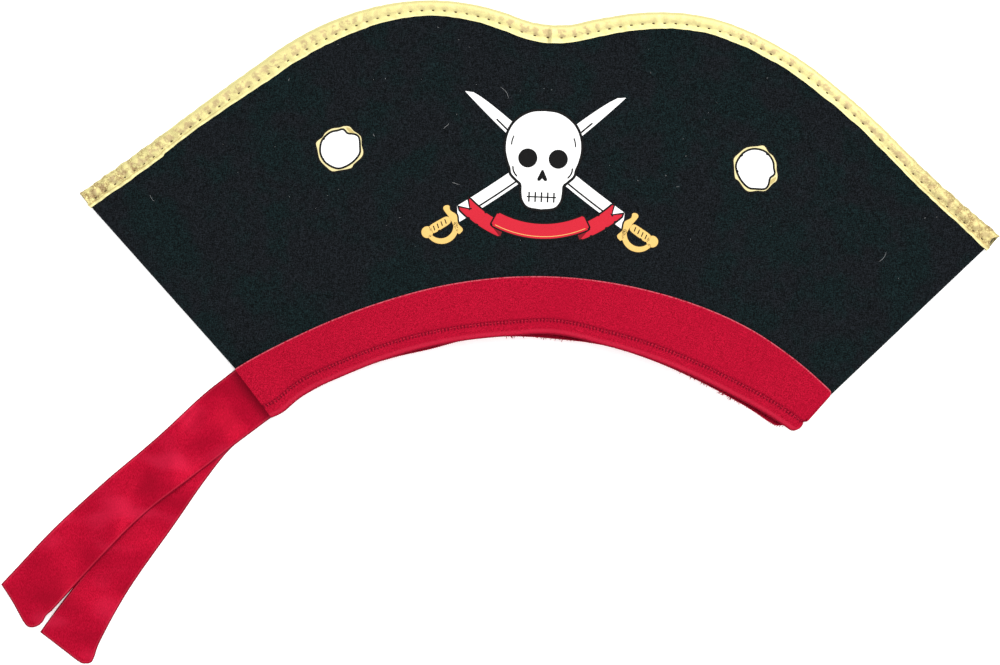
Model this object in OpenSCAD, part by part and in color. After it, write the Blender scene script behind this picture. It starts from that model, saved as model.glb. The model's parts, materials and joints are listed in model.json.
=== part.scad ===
// A child's pirate hat of black felt, laid flat on its back.
// Two felt panels are bound together with gold tape along the top edge and sewn down the
// sides. A red band runs round the mouth, and two red tails are sewn in under its left end.
// X runs from tip to tip, Y from the mouth towards the crown, Z up from the surface it lies on.
// The origin is on the centre line, level with the tips, on that surface.
// The front panel swings up from the back one to open the mouth. Its middle is the moving
// part, and its sewn edges, the sides and the top, stay with the back panel.

/* [Outline] */
// Distance from the centre line to each tip
tip_x = 229; // [220:1:238]
// Height of the tips above the origin
tip_y = 1.5; // [0:0.5:4]
// Distance from the centre line to the top of each hump
hump_x = 57; // [55:0.5:59]
// Height of the humps above the origin
hump_y = 106.4; // [105.8:0.2:107]
// Radius of each hump
hump_r = 125; // [123:1:128]
// Height of the dip between the humps
dip_y = 96.8; // [96:0.2:97.4]

/* [Cloth] */
// Thickness of the felt
felt_t = 1.4; // [1:0.1:1.6]
// Thickness of the band cloth
band_t = 0.6; // [0.4:0.1:0.8]
// Thickness of the gold tape
tape_t = 0.5; // [0.3:0.1:0.5]
// Thickness of a print on the felt
ink_t = 0.12; // [0.1:0.01:0.2]

/* [Mouth band] */
// Radius of the band's lower edge, which is the mouth
mouth_r = 204; // [198:1:208]
// Width of the band
band_w = 30.4; // [26:0.2:34]
// Angle that half of the band covers
band_a = 39.5; // [38:0.5:40]
// Depth of the hem turned up inside the band
hem_w = 8; // [7:0.5:10]
// Spacing of the band's stitches
band_pitch = 2; // [2:0.1:3]
// Distance of the band's stitches from its lower edge
band_stitch_in = 7; // [5:0.5:7]
// Width of the overlocked edge below the back band
overlock_w = 1.6; // [1:0.2:2]

/* [Gold binding] */
// Width of the binding on each side of the hat
tape_w = 9; // [8:0.2:9.4]
// Spacing of the binding's stitches
tape_pitch = 5.9; // [5:0.1:7]
// Distance of the binding's stitches from the hat's edge
tape_stitch_in = 5.2; // [4:0.1:6]

/* [Opening] */
// Angle by which the front panel stands off the back one at rest
rest_lift = 4.9; // [4:0.1:6]
// Half the width of the part of the front panel that swings
flap_x = 66; // [64:1:70]
// Height of the line that the front panel bends on
bend_y = 84; // [82:0.5:85]

/* [Tails] */
// Length of the upper tail from its bend to its end
over_l = 152; // [120:1:160]
// Length of the lower tail from its bend to its end
under_l = 158; // [120:1:165]
// Width of each tail
tail_w = 25; // [22:0.5:26]
// Thickness of each tail, which is two layers of cloth
tail_t = 0.9; // [0.7:0.1:0.9]
// Direction of the upper tail, from +X
over_a = 224.6; // [222:0.2:227]
// Direction of the lower tail, from +X
under_a = 235.4; // [233:0.2:238]
// Distance from the band's end to the line that the tails bend on
tail_bend = 4; // [4:0.5:6]

/* [Prints] */
// Height of the middle of the skull print
emblem_y = 27.6; // [24:0.2:30]
// Distance of the hole prints from the centre line
hole_x = 103; // [98:1:108]
// Height of the hole prints
hole_y = 29; // [24:1:34]
// Radius of each hole print's gold ring
hole_r = 12; // [10:0.5:13]
// Radius of each hole print's white middle
hole_in_r = 9.4; // [8:0.2:9.6]

/* [Hidden] */

gap = 0.4;                               // clearance between layers and at the bend lines
back_z = band_t;                         // underside of the back panel
back_top = back_z + felt_t;
front_z = back_top + gap;                // underside of the front panel where it is sewn
front_top = front_z + felt_t;
hump_cy = hump_y - hump_r;
dip_rise = dip_y - hump_cy;
dip_r = (hump_x * hump_x + dip_rise * dip_rise - hump_r * hump_r) / (2 * (hump_r - dip_rise));
dip_cy = dip_y + dip_r;
dip_a = atan2(hump_x, dip_cy - hump_cy);  // where the dip's curve meets the hump's
reach = norm([tip_x - hump_x, tip_y - hump_cy]);
tangent_a = atan2(tip_y - hump_cy, tip_x - hump_x) + acos(hump_r / reach);
mouth_cy = -mouth_r - 59;                // centre of the band's arcs
slope = tan(rest_lift);
tail_z = [0, tail_t + gap];              // undersides of the lower and the upper tail
bend_z = tail_z[1] + tail_t + 0.1;       // height of the line that the tails bend on
stitch_t = 0.25;                         // height of a stitch above the cloth
tail_corner = 5;                         // radius of the rounded corner at a tail's end

black = [0.09, 0.10, 0.11];
gold = [0.93, 0.84, 0.55];
red = [0.74, 0.08, 0.19];
dark_red = [0.45, 0.04, 0.10];
white = [0.96, 0.96, 0.95];

// Points along an arc from angle a to angle b
function arc(c, r, a, b, n) = [for (i = [0:n]) let (t = a + (b - a) * i / n) c + r * [cos(t), sin(t)]];
function flip(p) = [for (i = [len(p) - 1:-1:0]) [-p[i][0], p[i][1]]];
function backwards(p) = [for (i = [len(p) - 1:-1:0]) p[i]];
function mix(a, b, t) = a + (b - a) * t;

// Right half of the top edge from the centre to the tip, moved in by a distance
function tip_at(inset) = [tip_x, tip_y] - inset * [cos(tangent_a), sin(tangent_a)];
function half_top(inset) = concat(
    arc([0, dip_cy], dip_r + inset, 270, 270 + dip_a, 6),
    arc([hump_x, hump_cy], hump_r - inset, 90 + dip_a, tangent_a, 20),
    [tip_at(inset)]
);
function top_edge(inset) = concat(flip(half_top(inset)), half_top(inset));

// A point of the band, by radius and by angle from the centre line
function band_at(r, a) = [r * sin(a), mouth_cy + r * cos(a)];
band_top = band_at(mouth_r + band_w, band_a);
band_foot = band_at(mouth_r, band_a);
side_top = tip_at(tape_w);

// How far the edge of the hat is from the centre line, at height y, inside the binding
function edge_x(y) =
    y < band_top[1] ? mix(band_foot[0], band_top[0], (y - band_foot[1]) / (band_top[1] - band_foot[1]))
    : y < side_top[1] ? mix(band_top[0], side_top[0], (y - band_top[1]) / (side_top[1] - band_top[1]))
    : y < tangent_y ? mix(side_top[0], tangent_x, (y - side_top[1]) / (tangent_y - side_top[1]))
    : hump_x + sqrt(inner_r * inner_r - pow(y - hump_cy, 2));
inner_r = hump_r - tape_w;
tangent_x = hump_x + inner_r * cos(tangent_a);
tangent_y = hump_cy + inner_r * sin(tangent_a);

// How far the front panel stands off the back one: full in the middle, none at the sewn edges
function fade(t) = 1 - t * t * (3 - 2 * t);
function lift(x, y) =
    slope * max(0, bend_y - y) * fade(min(1, max(0, (abs(x) - flap_x) / (edge_x(y) - flap_x))));

// Height of the hat's edges above and below a place beside the swinging part
function roof_y(x) =
    x < edge_x(bend_y - gap) ? bend_y - gap
    : x < tangent_x ? hump_cy + sqrt(inner_r * inner_r - pow(x - hump_x, 2)) - gap
    : mix(tangent_y, side_top[1], (x - tangent_x) / (side_top[0] - tangent_x)) - gap;
function floor_y(x) =
    x < band_foot[0] ? mouth_cy + sqrt(mouth_r * mouth_r - x * x)
    : x < band_top[0] ? mix(band_foot[1], band_top[1], (x - band_foot[0]) / (band_top[0] - band_foot[0]))
    : mix(band_top[1], side_top[1], (x - band_top[0]) / (side_top[0] - band_top[0]));

// A sheet of cloth over a grid of places, z above the lifted front panel's underside
module drape(rows, z, t) {
    n = len(rows);
    m = len(rows[0]);
    under = [for (row = rows) for (p = row) [p[0], p[1], z + lift(p[0], p[1])]];
    over = [for (p = under) p + [0, 0, t]];
    k = n * m;
    rim = concat(
        [for (j = [0:m - 2]) j],
        [for (i = [0:n - 2]) i * m + m - 1],
        [for (j = [m - 1:-1:1]) (n - 1) * m + j],
        [for (i = [n - 1:-1:1]) i * m]
    );
    cells = [for (i = [0:n - 2]) for (j = [0:m - 2]) i * m + j];
    faces = concat(
        [for (a = cells) each [[a, a + 1, a + m + 1], [a, a + m + 1, a + m]]],
        [for (c = cells) let (a = k + c) each [[a + m + 1, a + 1, a], [a + m, a + m + 1, a]]],
        [
            for (i = [0:len(rim) - 1])
                let (a = rim[i], b = rim[(i + 1) % len(rim)])
                    each [[b, a, a + k], [b, a + k, b + k]]
        ]
    );
    polyhedron(concat(under, over), faces);
}

// The middle of the front panel, turned up about its bend line
module on_flap(z = 0) {
    translate([0, bend_y, front_top])
        rotate([-rest_lift, 0, 0])
            translate([0, -bend_y, z])
                children();
}

module sheet_at(z, t) {
    translate([0, 0, z])
        linear_extrude(t)
            children();
}

// Outline of a felt panel, with its top edge moved in by a distance
module felt_shape(inset) {
    polygon(concat(
        top_edge(inset),
        [side_top, band_top],
        [for (i = [24:-1:-24]) band_at(mouth_r + 0.8, band_a * i / 24)],
        [[-band_top[0], band_top[1]], [-side_top[0], side_top[1]]]
    ));
}

// A ring-shaped strip along the band, between two radii and out to an angle each way
module strip_shape(r1, r2, a = band_a) {
    polygon(concat(
        [for (i = [-24:24]) band_at(r2, a * i / 24)],
        [for (i = [24:-1:-24]) band_at(r1, a * i / 24)]
    ));
}

module tape_shape(from, to) {
    polygon(concat(top_edge(from), backwards(top_edge(to))));
}

module flap_window(grow = 0) {
    translate([-flap_x - grow, -200])
        square([2 * (flap_x + grow), 200 + bend_y + grow]);
}

// Distance along a line of points, up to each of its points
function step_to(p, i) = i < len(p) - 1 ? norm(p[i + 1] - p[i]) : 0;
function walk_length(p) = [for (i = 0, s = 0; i < len(p); s = s + step_to(p, i), i = i + 1) s];

// The place a distance d along the line: [point, angle of the line there]
function place_along(p, s, d) =
    let (i = [for (j = [0:len(p) - 2]) if (s[j] <= d && d <= s[j + 1]) j][0])
    let (a = p[i], b = p[i + 1])
    [mix(a, b, (d - s[i]) / (s[i + 1] - s[i])), atan2(b[1] - a[1], b[0] - a[0])];

// Outline of the back panel's full thickness, inside the binding, the side seams and the band
module unpressed_shape() {
    right = concat(
        [for (p = half_top(tape_w + gap)) if (p[0] < side_top[0] - 8) p],
        [side_top + [-5, 0], band_top + [-3, 6]]
    );
    polygon(concat(
        flip(right),
        right,
        [for (i = [22:-1:-22]) band_at(mouth_r + band_w + gap, band_a * i / 24)]
    ));
}

// The felt is pressed thinner at its edges, so that the whole back lies flat
module back_panel() {
    color(black) {
        sheet_at(back_z, felt_t)
            felt_shape(tape_t);
        sheet_at(0, back_top)
            unpressed_shape();
    }
}

module back_band() {
    color(red)
        sheet_at(0, band_t)
            strip_shape(mouth_r, mouth_r + band_w);
}

module back_band_overlock() {
    color(dark_red)
        sheet_at(0, back_top + 0.2)
            strip_shape(mouth_r - overlock_w, mouth_r - 0.1, band_a - 1);
}

module gold_binding() {
    color(gold) {
        sheet_at(0, tape_t)
            tape_shape(0, tape_w);
        sheet_at(0, front_top + tape_t + 0.1)
            tape_shape(0, tape_t - 0.1);
        sheet_at(front_top + 0.1, tape_t)
            tape_shape(0, tape_w);
    }
}

module binding_stitches() {
    line = top_edge(tape_stitch_in);
    run = walk_length(line);
    count = floor(run[len(run) - 1] / tape_pitch);
    start = (run[len(run) - 1] - (count - 1) * tape_pitch) / 2;
    color("saddlebrown")
        for (i = [0:count - 1]) {
            place = place_along(line, run, start + i * tape_pitch);
            translate([place[0][0], place[0][1], front_top + 0.1 + tape_t])
                rotate([0, 0, place[1]])
                    translate([-0.6, -0.35, 0])
                        cube([1.2, 0.7, stitch_t]);
        }
}

module front_panel() {
    color(black)
        on_flap(-felt_t)
            linear_extrude(felt_t)
                intersection() {
                    felt_shape(tape_t);
                    flap_window();
                }
}

module front_panel_top() {
    color(black)
        sheet_at(front_z, felt_t) {
            tape_shape(tape_t, tape_w);
            intersection() {
                felt_shape(tape_t);
                translate([-150, bend_y + gap])
                    square([300, 40]);
            }
        }
}

// One side of the front panel, from the swinging part out to the side seam
module panel_side() {
    columns = concat(
        [for (i = [0:9]) mix(flap_x + gap, band_foot[0], i / 10)],
        [for (i = [0:3]) mix(band_foot[0], band_top[0], i / 4)],
        [for (i = [0:10]) mix(band_top[0], side_top[0] - 2, i / 10)]
    );
    rows = [for (j = [0:12]) [for (x = columns) [x, mix(floor_y(x), roof_y(x), j / 12)]]];
    drape(rows, front_z, felt_t);
}

module front_panel_sides() {
    color(black) {
        panel_side();
        mirror([1, 0, 0])
            panel_side();
    }
}

// Stitches of the seam that closes one side, between the two panels
module side_seam() {
    seam_pitch = 4;
    inboard = 3;
    start = band_top + [0, 2];
    along = side_top - start;
    color("dimgray")
        translate([start[0], start[1], back_top + 0.1])
            rotate([0, 0, atan2(along[1], along[0])])
                for (d = [4:seam_pitch:norm(along) - 6])
                    translate([d, inboard, 0])
                        cube([2.6, 0.5, 0.2]);
}

module side_seam_left() {
    mirror([1, 0, 0])
        side_seam();
}

module side_seam_right() {
    side_seam();
}

// The band is folded round the mouth's edge, with a hem inside
module front_band() {
    color(red)
        on_flap() {
            linear_extrude(band_t)
                intersection() {
                    strip_shape(mouth_r, mouth_r + band_w);
                    flap_window();
                }
            translate([0, 0, -felt_t - band_t])
                linear_extrude(felt_t + 2 * band_t)
                    intersection() {
                        strip_shape(mouth_r, mouth_r + 0.7);
                        flap_window();
                    }
            translate([0, 0, -felt_t - band_t])
                linear_extrude(band_t)
                    intersection() {
                        strip_shape(mouth_r, mouth_r + hem_w);
                        flap_window();
                    }
        }
}

// One end of the band, from the swinging part to the angle where it stops
module band_end(stop_a) {
    rows = [
        for (j = [0:5])
            let (r = mouth_r + band_w * j / 5, from_a = asin((flap_x + gap) / r))
                [for (i = [0:12]) band_at(r, mix(from_a, stop_a, i / 12))]
    ];
    drape(rows, front_top + gap, band_t);
}

fold_a = band_a - 2.2;                   // where the raised left end begins

module front_band_ends() {
    color(red) {
        band_end(band_a);
        mirror([1, 0, 0])
            band_end(fold_a);
    }
}

// The band's stitches, one every so many degrees
band_stitch_r = mouth_r + band_stitch_in;
band_step = band_pitch / band_stitch_r * 180 / PI;

module band_stitch(a, z) {
    place = band_at(band_stitch_r, a);
    translate([place[0], place[1], z])
        rotate([0, 0, -a])
            translate([-0.65, -0.25, 0])
                cube([1.3, 0.5, stitch_t]);
}

module front_band_stitches() {
    edge_a = asin((flap_x - 1.5) / band_stitch_r);
    color(red)
        on_flap(band_t)
            for (a = [-edge_a:band_step:edge_a])
                band_stitch(a, 0);
}

module front_band_end_stitches() {
    start_a = asin((flap_x + 1.5) / band_stitch_r);
    color(red)
        for (side = [-1, 1])
            for (a = [start_a:band_step:(side < 0 ? fold_a : band_a) - 0.6]) {
                place = band_at(band_stitch_r, a);
                band_stitch(side * a, front_top + gap + band_t + 0.3 + lift(place[0], place[1]));
            }
}

// The left end of the band, folded under and raised over the roots of the tails
root_z = front_top + gap + 0.6;          // clears the panel, which stands off a little here
fold_z = root_z + 2 * tail_t + gap;

module band_end_fold() {
    color(red)
        sheet_at(fold_z, 2 * band_t)
            polygon([
                band_at(mouth_r, -fold_a), band_at(mouth_r + band_w, -fold_a),
                band_at(mouth_r + band_w, -band_a), band_at(mouth_r, -band_a)
            ]);
}

// Places along the band's left end and straight out from it
along_end = [sin(band_a), -cos(band_a)];     // towards the mouth
out_of_end = [-cos(band_a), -sin(band_a)];   // away from the band
end_middle = band_at(mouth_r + band_w / 2, -band_a);
hinge_middle = end_middle + tail_bend * out_of_end;

// A place at the band's left end: s along the end, d out from it
function at_end(s, d) = end_middle + s * along_end + d * out_of_end;

module root_block(s1, s2, d1, d2, z, t) {
    sheet_at(z, t)
        polygon([at_end(s1, d1), at_end(s1, d2), at_end(s2, d2), at_end(s2, d1)]);
}

// A tail's root lies under the band's end, and slopes down to the tail's bend line
under_s = 2.3;                           // places of the two tails along the band's end
over_s = -2.7;
root_half_w = tail_w / 2 - 0.2;
root_in = 6;                             // depth of the root under the band's end

module tail_root(s, inner_z, outer_z) {
    root_block(s - root_half_w, s + root_half_w, -root_in, 0, inner_z, tail_t);
    hull() {
        root_block(s - root_half_w, s + root_half_w, -0.05, 0, inner_z, tail_t);
        root_block(s - root_half_w, s + root_half_w, tail_bend - 0.6, tail_bend - 0.2, outer_z, tail_t);
    }
}

module tail_roots() {
    color(red) {
        tail_root(under_s, root_z, tail_z[0]);
        tail_root(over_s, root_z + tail_t + 0.1, tail_z[1]);
    }
}

// Two short rows of stitches that hold the tails under the band's end
module tail_tack_stitches() {
    color(dark_red)
        for (d = [-2.5, -5])
            for (s = [-12:2.4:12])
                root_block(s - 0.8, s + 0.8, d - 0.3, d + 0.3, fold_z + 2 * band_t, stitch_t);
}

// A tail lies flat from its bend line to a slanting end with one rounded corner
end_slant = 6;                           // how much shorter a tail is at its rounded corner

module tail_shape(s, angle, long) {
    along = [cos(angle), sin(angle)];
    across = [-sin(angle), cos(angle)];
    root = hinge_middle + s * along_end;
    half = tail_w / 2;
    intersection() {
        polygon(concat(
            [root - half * across - 30 * along, root - half * across + long * along],
            arc(root + (long - end_slant - tail_corner) * along + (half - tail_corner) * across,
                tail_corner, angle, angle + 90, 6),
            [root + half * across - 30 * along]
        ));
        polygon([
            at_end(-60, tail_bend + 0.2), at_end(60, tail_bend + 0.2),
            at_end(60, 200), at_end(-60, 200)
        ]);
    }
}

module tail_under() {
    color(red)
        sheet_at(tail_z[0], tail_t)
            tail_shape(under_s, under_a, under_l);
}

module tail_over() {
    color(red)
        sheet_at(tail_z[1], tail_t)
            tail_shape(over_s, over_a, over_l);
}

// The emblem: a plain skull over two crossed cutlasses, with a ribbon below
module on_emblem(layer) {
    on_flap(layer * ink_t)
        translate([0, emblem_y])
            linear_extrude(ink_t)
                children();
}

module each_way() {
    children();
    mirror([1, 0])
        children();
}

// A cutlass lies along X from its guard at the origin, and is turned into place
module cutlass_place() {
    translate([-43, -29])
        rotate(33)
            children();
}

// The blade bends up along its length and narrows to its point
blade_l = 104;
blade_rise = 11;
blade_w = 7.4;

module blade_shape() {
    back = [for (i = [0:16]) let (t = i / 16) [blade_l * t, blade_rise * t * t - blade_w / 2]];
    edge = [for (i = [0:15]) let (t = i / 16) back[i] + [0, blade_w * sqrt(1 - pow(t, 4))]];
    polygon(concat(back, backwards(edge)));
}

module hilt_shape() {
    translate([-14, -2])
        square([12, 4]);
    translate([-15.6, 0])
        circle(3, $fn = 32);
    translate([-2.6, -8.4])
        square([2.8, 15]);
    difference() {
        translate([-8.2, -1.5])
            circle(8.4, $fn = 48);
        translate([-8.2, -0.6])
            circle(6.3, $fn = 48);
        translate([-19, 0])
            square([21, 10]);
    }
}

module emblem_blades() {
    color(white)
        on_emblem(0)
            each_way()
                cutlass_place()
                    blade_shape();
}

module emblem_hilts() {
    color(gold)
        on_emblem(1)
            each_way()
                cutlass_place()
                    hilt_shape();
}

// The ribbon is a bowed strip. Its two ends fold back a little lower and are notched
ribbon_c = [0, 16];
ribbon_w = 7.5;

module ribbon_strip(r, from, to, n) {
    polygon(concat(arc(ribbon_c, r, from, to, n), arc(ribbon_c, r - ribbon_w, to, from, n)));
}

module emblem_sash() {
    color(red)
        on_emblem(1) {
            ribbon_strip(54.5, 243, 297, 24);
            each_way()
                difference() {
                    ribbon_strip(58, 290, 316, 12);
                    polygon([[35.2, -25.2], [48, -23.8], [37, -13]]);
                }
        }
}

// The cranium is one arc, drawn in at the cheeks to a square jaw
module skull_shape() {
    half = concat(
        arc([0, 6.6], 18.8, 87, -32, 18),
        [[12.8, -9.2], [10.4, -11.6], [10.1, -18]],
        arc([6.4, -20.2], 3.6, 0, -90, 6)
    );
    polygon(concat(half, [for (p = backwards(half)) [-p[0], p[1]]]));
}

module emblem_skull() {
    color(white)
        on_emblem(2)
            skull_shape();
}

module emblem_face() {
    color(black)
        on_emblem(3) {
            each_way()
                translate([7.6, 1.6])
                    circle(4.9, $fn = 32);
            polygon([[0, -3.6], [2.7, -9.5], [-2.7, -9.5]]);
            for (x = [-6.2:3.1:6.2])
                translate([x - 0.35, -21])
                    square([0.7, 6.6]);
        }
}

// A round print draped over the side of the front panel
module round_print(x, r, z) {
    rows = [
        for (j = [-5:5])
            [for (i = [-5:5]) let (u = i / 5, v = j / 5)
                [x + r * u * sqrt(1 - v * v / 2), hole_y + r * v * sqrt(1 - u * u / 2)]]
    ];
    drape(rows, front_top + z, ink_t);
}

ring_z = 0.3;                            // clears the panel's facets
middle_z = ring_z + ink_t + 0.2;

module left_hole_ring() {
    color(gold)
        round_print(-hole_x, hole_r, ring_z);
}

module left_hole_middle() {
    color(white)
        round_print(-hole_x, hole_in_r, middle_z);
}

module right_hole_ring() {
    color(gold)
        round_print(hole_x, hole_r, ring_z);
}

module right_hole_middle() {
    color(white)
        round_print(hole_x, hole_in_r, middle_z);
}

back_panel();
back_band();
back_band_overlock();
gold_binding();
binding_stitches();
front_panel();
front_panel_top();
front_panel_sides();
side_seam_left();
side_seam_right();
front_band();
front_band_ends();
front_band_stitches();
front_band_end_stitches();
band_end_fold();
tail_roots();
tail_tack_stitches();
tail_over();
tail_under();
emblem_blades();
emblem_hilts();
emblem_sash();
emblem_skull();
emblem_face();
left_hole_ring();
left_hole_middle();
right_hole_ring();
right_hole_middle();
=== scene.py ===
import json
import math
import bpy
import numpy as np
from mathutils.geometry import delaunay_2d_cdt
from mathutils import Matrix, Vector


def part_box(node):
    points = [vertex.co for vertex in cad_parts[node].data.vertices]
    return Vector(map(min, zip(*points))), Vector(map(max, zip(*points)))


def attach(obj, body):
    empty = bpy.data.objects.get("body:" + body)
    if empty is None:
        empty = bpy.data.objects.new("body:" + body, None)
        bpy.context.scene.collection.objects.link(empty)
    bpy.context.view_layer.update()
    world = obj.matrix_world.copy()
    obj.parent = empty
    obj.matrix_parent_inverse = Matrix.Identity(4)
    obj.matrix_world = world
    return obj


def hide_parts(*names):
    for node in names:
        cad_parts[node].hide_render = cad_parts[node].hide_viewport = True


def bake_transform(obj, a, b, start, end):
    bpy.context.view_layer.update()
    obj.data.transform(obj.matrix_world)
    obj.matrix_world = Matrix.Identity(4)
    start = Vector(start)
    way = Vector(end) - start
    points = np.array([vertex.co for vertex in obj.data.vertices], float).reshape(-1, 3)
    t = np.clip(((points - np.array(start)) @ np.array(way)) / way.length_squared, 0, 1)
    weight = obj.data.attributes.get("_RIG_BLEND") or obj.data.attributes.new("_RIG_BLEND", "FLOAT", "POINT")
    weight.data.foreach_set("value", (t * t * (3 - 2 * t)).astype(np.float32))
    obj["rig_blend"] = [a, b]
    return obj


# Child's pirate hat, laid flat on its back. All sizes here are in millimetres until a mesh is made.
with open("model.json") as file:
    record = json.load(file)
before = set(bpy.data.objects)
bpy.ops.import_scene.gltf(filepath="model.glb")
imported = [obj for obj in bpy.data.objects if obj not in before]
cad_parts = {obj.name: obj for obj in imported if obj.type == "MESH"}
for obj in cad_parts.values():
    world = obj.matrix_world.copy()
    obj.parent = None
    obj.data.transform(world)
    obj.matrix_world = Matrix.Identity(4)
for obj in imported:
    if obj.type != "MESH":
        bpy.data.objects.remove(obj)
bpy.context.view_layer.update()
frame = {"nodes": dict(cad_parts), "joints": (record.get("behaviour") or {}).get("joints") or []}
mm = 0.001
print("frame loaded,", len(frame["nodes"]), "nodes")


shot = {
    "height": 2600,       # above the table, so the view is almost parallel
    "width": 500,         # what the picture takes in, left to right
    "middle": (-17.8, -58.3),
    "turn": 2.4,          # the hat lies a little askew in the picture
}
camera = bpy.data.objects.new("camera", bpy.data.cameras.new("camera"))
camera.data.sensor_width = 36
camera.data.lens = 36 * shot["height"] / shot["width"]
camera.data.clip_end = 20
camera.location = (shot["middle"][0] * mm, shot["middle"][1] * mm, shot["height"] * mm)
camera.rotation_euler = (0, 0, math.radians(shot["turn"]))
bpy.context.scene.collection.objects.link(camera)
bpy.context.scene.camera = camera
print("camera placed")


def smooth(t):
    t = np.clip(t, 0, 1)
    return t * t * (3 - 2 * t)


def mix(a, b, t):
    return a + (b - a) * t


def hills(x, y, size, seed):   # smooth random heights from -1 to 1, hills about this far apart
    table = np.random.default_rng(seed).uniform(-1, 1, (64, 64))
    column, row = np.floor(x / size).astype(int), np.floor(y / size).astype(int)
    u, v = smooth(x / size - column), smooth(y / size - row)
    near = mix(table[column % 64, row % 64], table[(column + 1) % 64, row % 64], u)
    far = mix(table[column % 64, (row + 1) % 64], table[(column + 1) % 64, (row + 1) % 64], u)
    return mix(near, far, v)


def throughPoints(points, steps, closed=False):   # a smooth curve through a few points
    p = np.array(points, float)
    if closed:
        p = np.vstack([p[-1], p, p[:2]])
    else:
        p = np.vstack([2 * p[0] - p[1], p, 2 * p[-1] - p[-2]])
    t = np.linspace(0, 1, steps, endpoint=False)[:, None]
    made = []
    for a, b, c, d in zip(p, p[1:], p[2:], p[3:]):
        bend, twist = 2 * a - 5 * b + 4 * c - d, 3 * b - a - 3 * c + d
        made.append(0.5 * (2 * b + (c - a) * t + bend * t**2 + twist * t**3))
    made = np.vstack(made)
    return made if closed else np.vstack([made, p[-2]])


def evenly(line, step):   # the same line with its points evenly spaced
    gone = np.concatenate([[0], np.cumsum(np.linalg.norm(np.diff(line, axis=0), axis=1))])
    at = np.linspace(0, gone[-1], max(2, int(round(gone[-1] / step)) + 1))
    return np.stack([np.interp(at, gone, line[:, k]) for k in range(line.shape[1])], axis=1)


def valueAt(places, at):   # a smooth curve through (place, value) pairs, read at any place
    line = throughPoints(places, 8)
    return np.interp(at, line[:, 0], line[:, 1])


def arc(cx, cy, radius, start, end, count):
    a = np.radians(np.linspace(start, end, count))
    return np.stack([cx + radius * np.cos(a), cy + radius * np.sin(a)], axis=1)


tape = {
    "width": 9,           # on each side of the hat
    "thick": 0.36,
    "stitchIn": 2.6,      # stitches, from the inner edge
    "pitch": 5.9,
    "overFelt": 0.38,     # its middle over the front panel
    "overTable": 0.22,
    "foldStep": 0.62,     # distance between points round the fold
    "crumple": 0.2,       # height of the creases in the foil
    "dimple": 0.3,        # how far each stitch pulls it in
    "groove": 0.14,       # how far the whole row of stitches does
    "tuck": 0.75,         # height of the tuck where it turns through the dip
    "notch": 2.2,         # depth of the notch in the right end
    # it was sewn on by hand: how far it sits in from the outline, and how much wider it lies, along the edge
    "wander": [(-270, -1.8), (-225, -0.5), (-180, 0), (-115, 1.4), (-60, 0.2), (-10, 0), (30, 1.8), (80, 0.8),
               (120, 1.3), (172, -1), (222, 1), (270, 0.2)],
    "wider": [(-270, 0.1), (-224, 0.4), (-217, -0.5), (-190, -0.6), (-130, 1.2), (-60, -1.2), (0, 0.2),
              (40, -0.5), (90, -0.8), (180, -0.9), (225, -0.4), (270, 1.2)],
}
cut = {
    "tipX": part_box("gold_binding")[1].x / mm,
    "tipY": 1.5,
    "humpX": 57,
    "humpY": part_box("gold_binding")[1].y / mm,
    "humpR": 125,
    "dipY": 96.8,
    "mouthR": 204,
    "mouthTop": -59,
    "bandW": 30.4,
    "bandA": 39.5,        # half the angle that the band spans
}
humpCy = cut["humpY"] - cut["humpR"]
rise = cut["dipY"] - humpCy
dipR = (cut["humpX"]**2 + rise**2 - cut["humpR"]**2) / (2 * (cut["humpR"] - rise))
dipCy = cut["dipY"] + dipR
dipA = math.atan2(cut["humpX"], dipCy - humpCy)
reach = math.hypot(cut["tipX"] - cut["humpX"], cut["tipY"] - humpCy)
tipA = math.atan2(cut["tipY"] - humpCy, cut["tipX"] - cut["humpX"]) + math.acos(cut["humpR"] / reach)
dipLength = dipR * dipA
humpLength = cut["humpR"] * (math.pi / 2 + dipA - tipA)
tipLength = math.sqrt(reach**2 - cut["humpR"]**2)
edgeLength = dipLength + humpLength + tipLength      # from the dip to one tip
mouthCy = cut["mouthTop"] - cut["mouthR"]


band = {
    "thick": 0.42,
    "raise": 4.2,         # how far the left end stands up over the tails' roots
    "raiseOver": 15,      # the length it takes to rise
    "corner": 4,          # radius of the right end's lower corner
    "notch": 1.3,         # how far the right end is drawn in by the stitches
    "pucker": 1.6,        # distance between the puckers in the row of stitches
    "stitchIn": 7,
    "pitch": 2,
    # cross-section from the hem inside, round the mouth, to the edge turned under:
    # (radius past the mouth's, height over the felt)
    "section": [(8, -1.72), (4, -1.75), (1.2, -1.62), (-0.1, -1.1), (-0.25, -0.4), (0.15, 0.3), (1.4, 0.72),
                (3.4, 0.8), (5.4, 0.62), (6.3, 0.42), (7, 0.12), (7.8, 0.38), (9.2, 0.54), (16, 0.46),
                (23, 0.48), (28, 0.66), (29.7, 0.72), (30.4, 0.48), (30.1, 0.24), (28.6, 0.2), (25, 0.21)],
    # radius of its edges along the band, which was cut and laid by hand
    "foot": [(-39.5, 204.0), (-37.6, 202.9), (-35, 204.0), (-32, 204.2), (-26, 203.1), (-12, 203.0),
             (-4, 203.5), (0, 204.7), (3, 205.1), (6.5, 204.3), (10, 203.4), (20, 202.9), (28, 203.6),
             (34, 205.6), (39.5, 207.5)],
    "edge": [(-39.5, 234.3), (-30, 231.3), (-20, 230.6), (-10, 231.8), (0, 233.3), (12, 234.9), (25, 236.8),
             (32, 236.3), (39.5, 235)],
    "backFoot": [(-39.5, 204.5), (-27, 203.4), (-20, 202.3), (-15, 201.6), (-9, 203.2), (-3, 203.1),
                 (3, 202.7), (6, 202.9), (10, 203.1), (15, 202.6), (22, 202.0), (28, 202.2), (32, 202.9),
                 (36, 203.6), (39.5, 206.5)],
}


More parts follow.
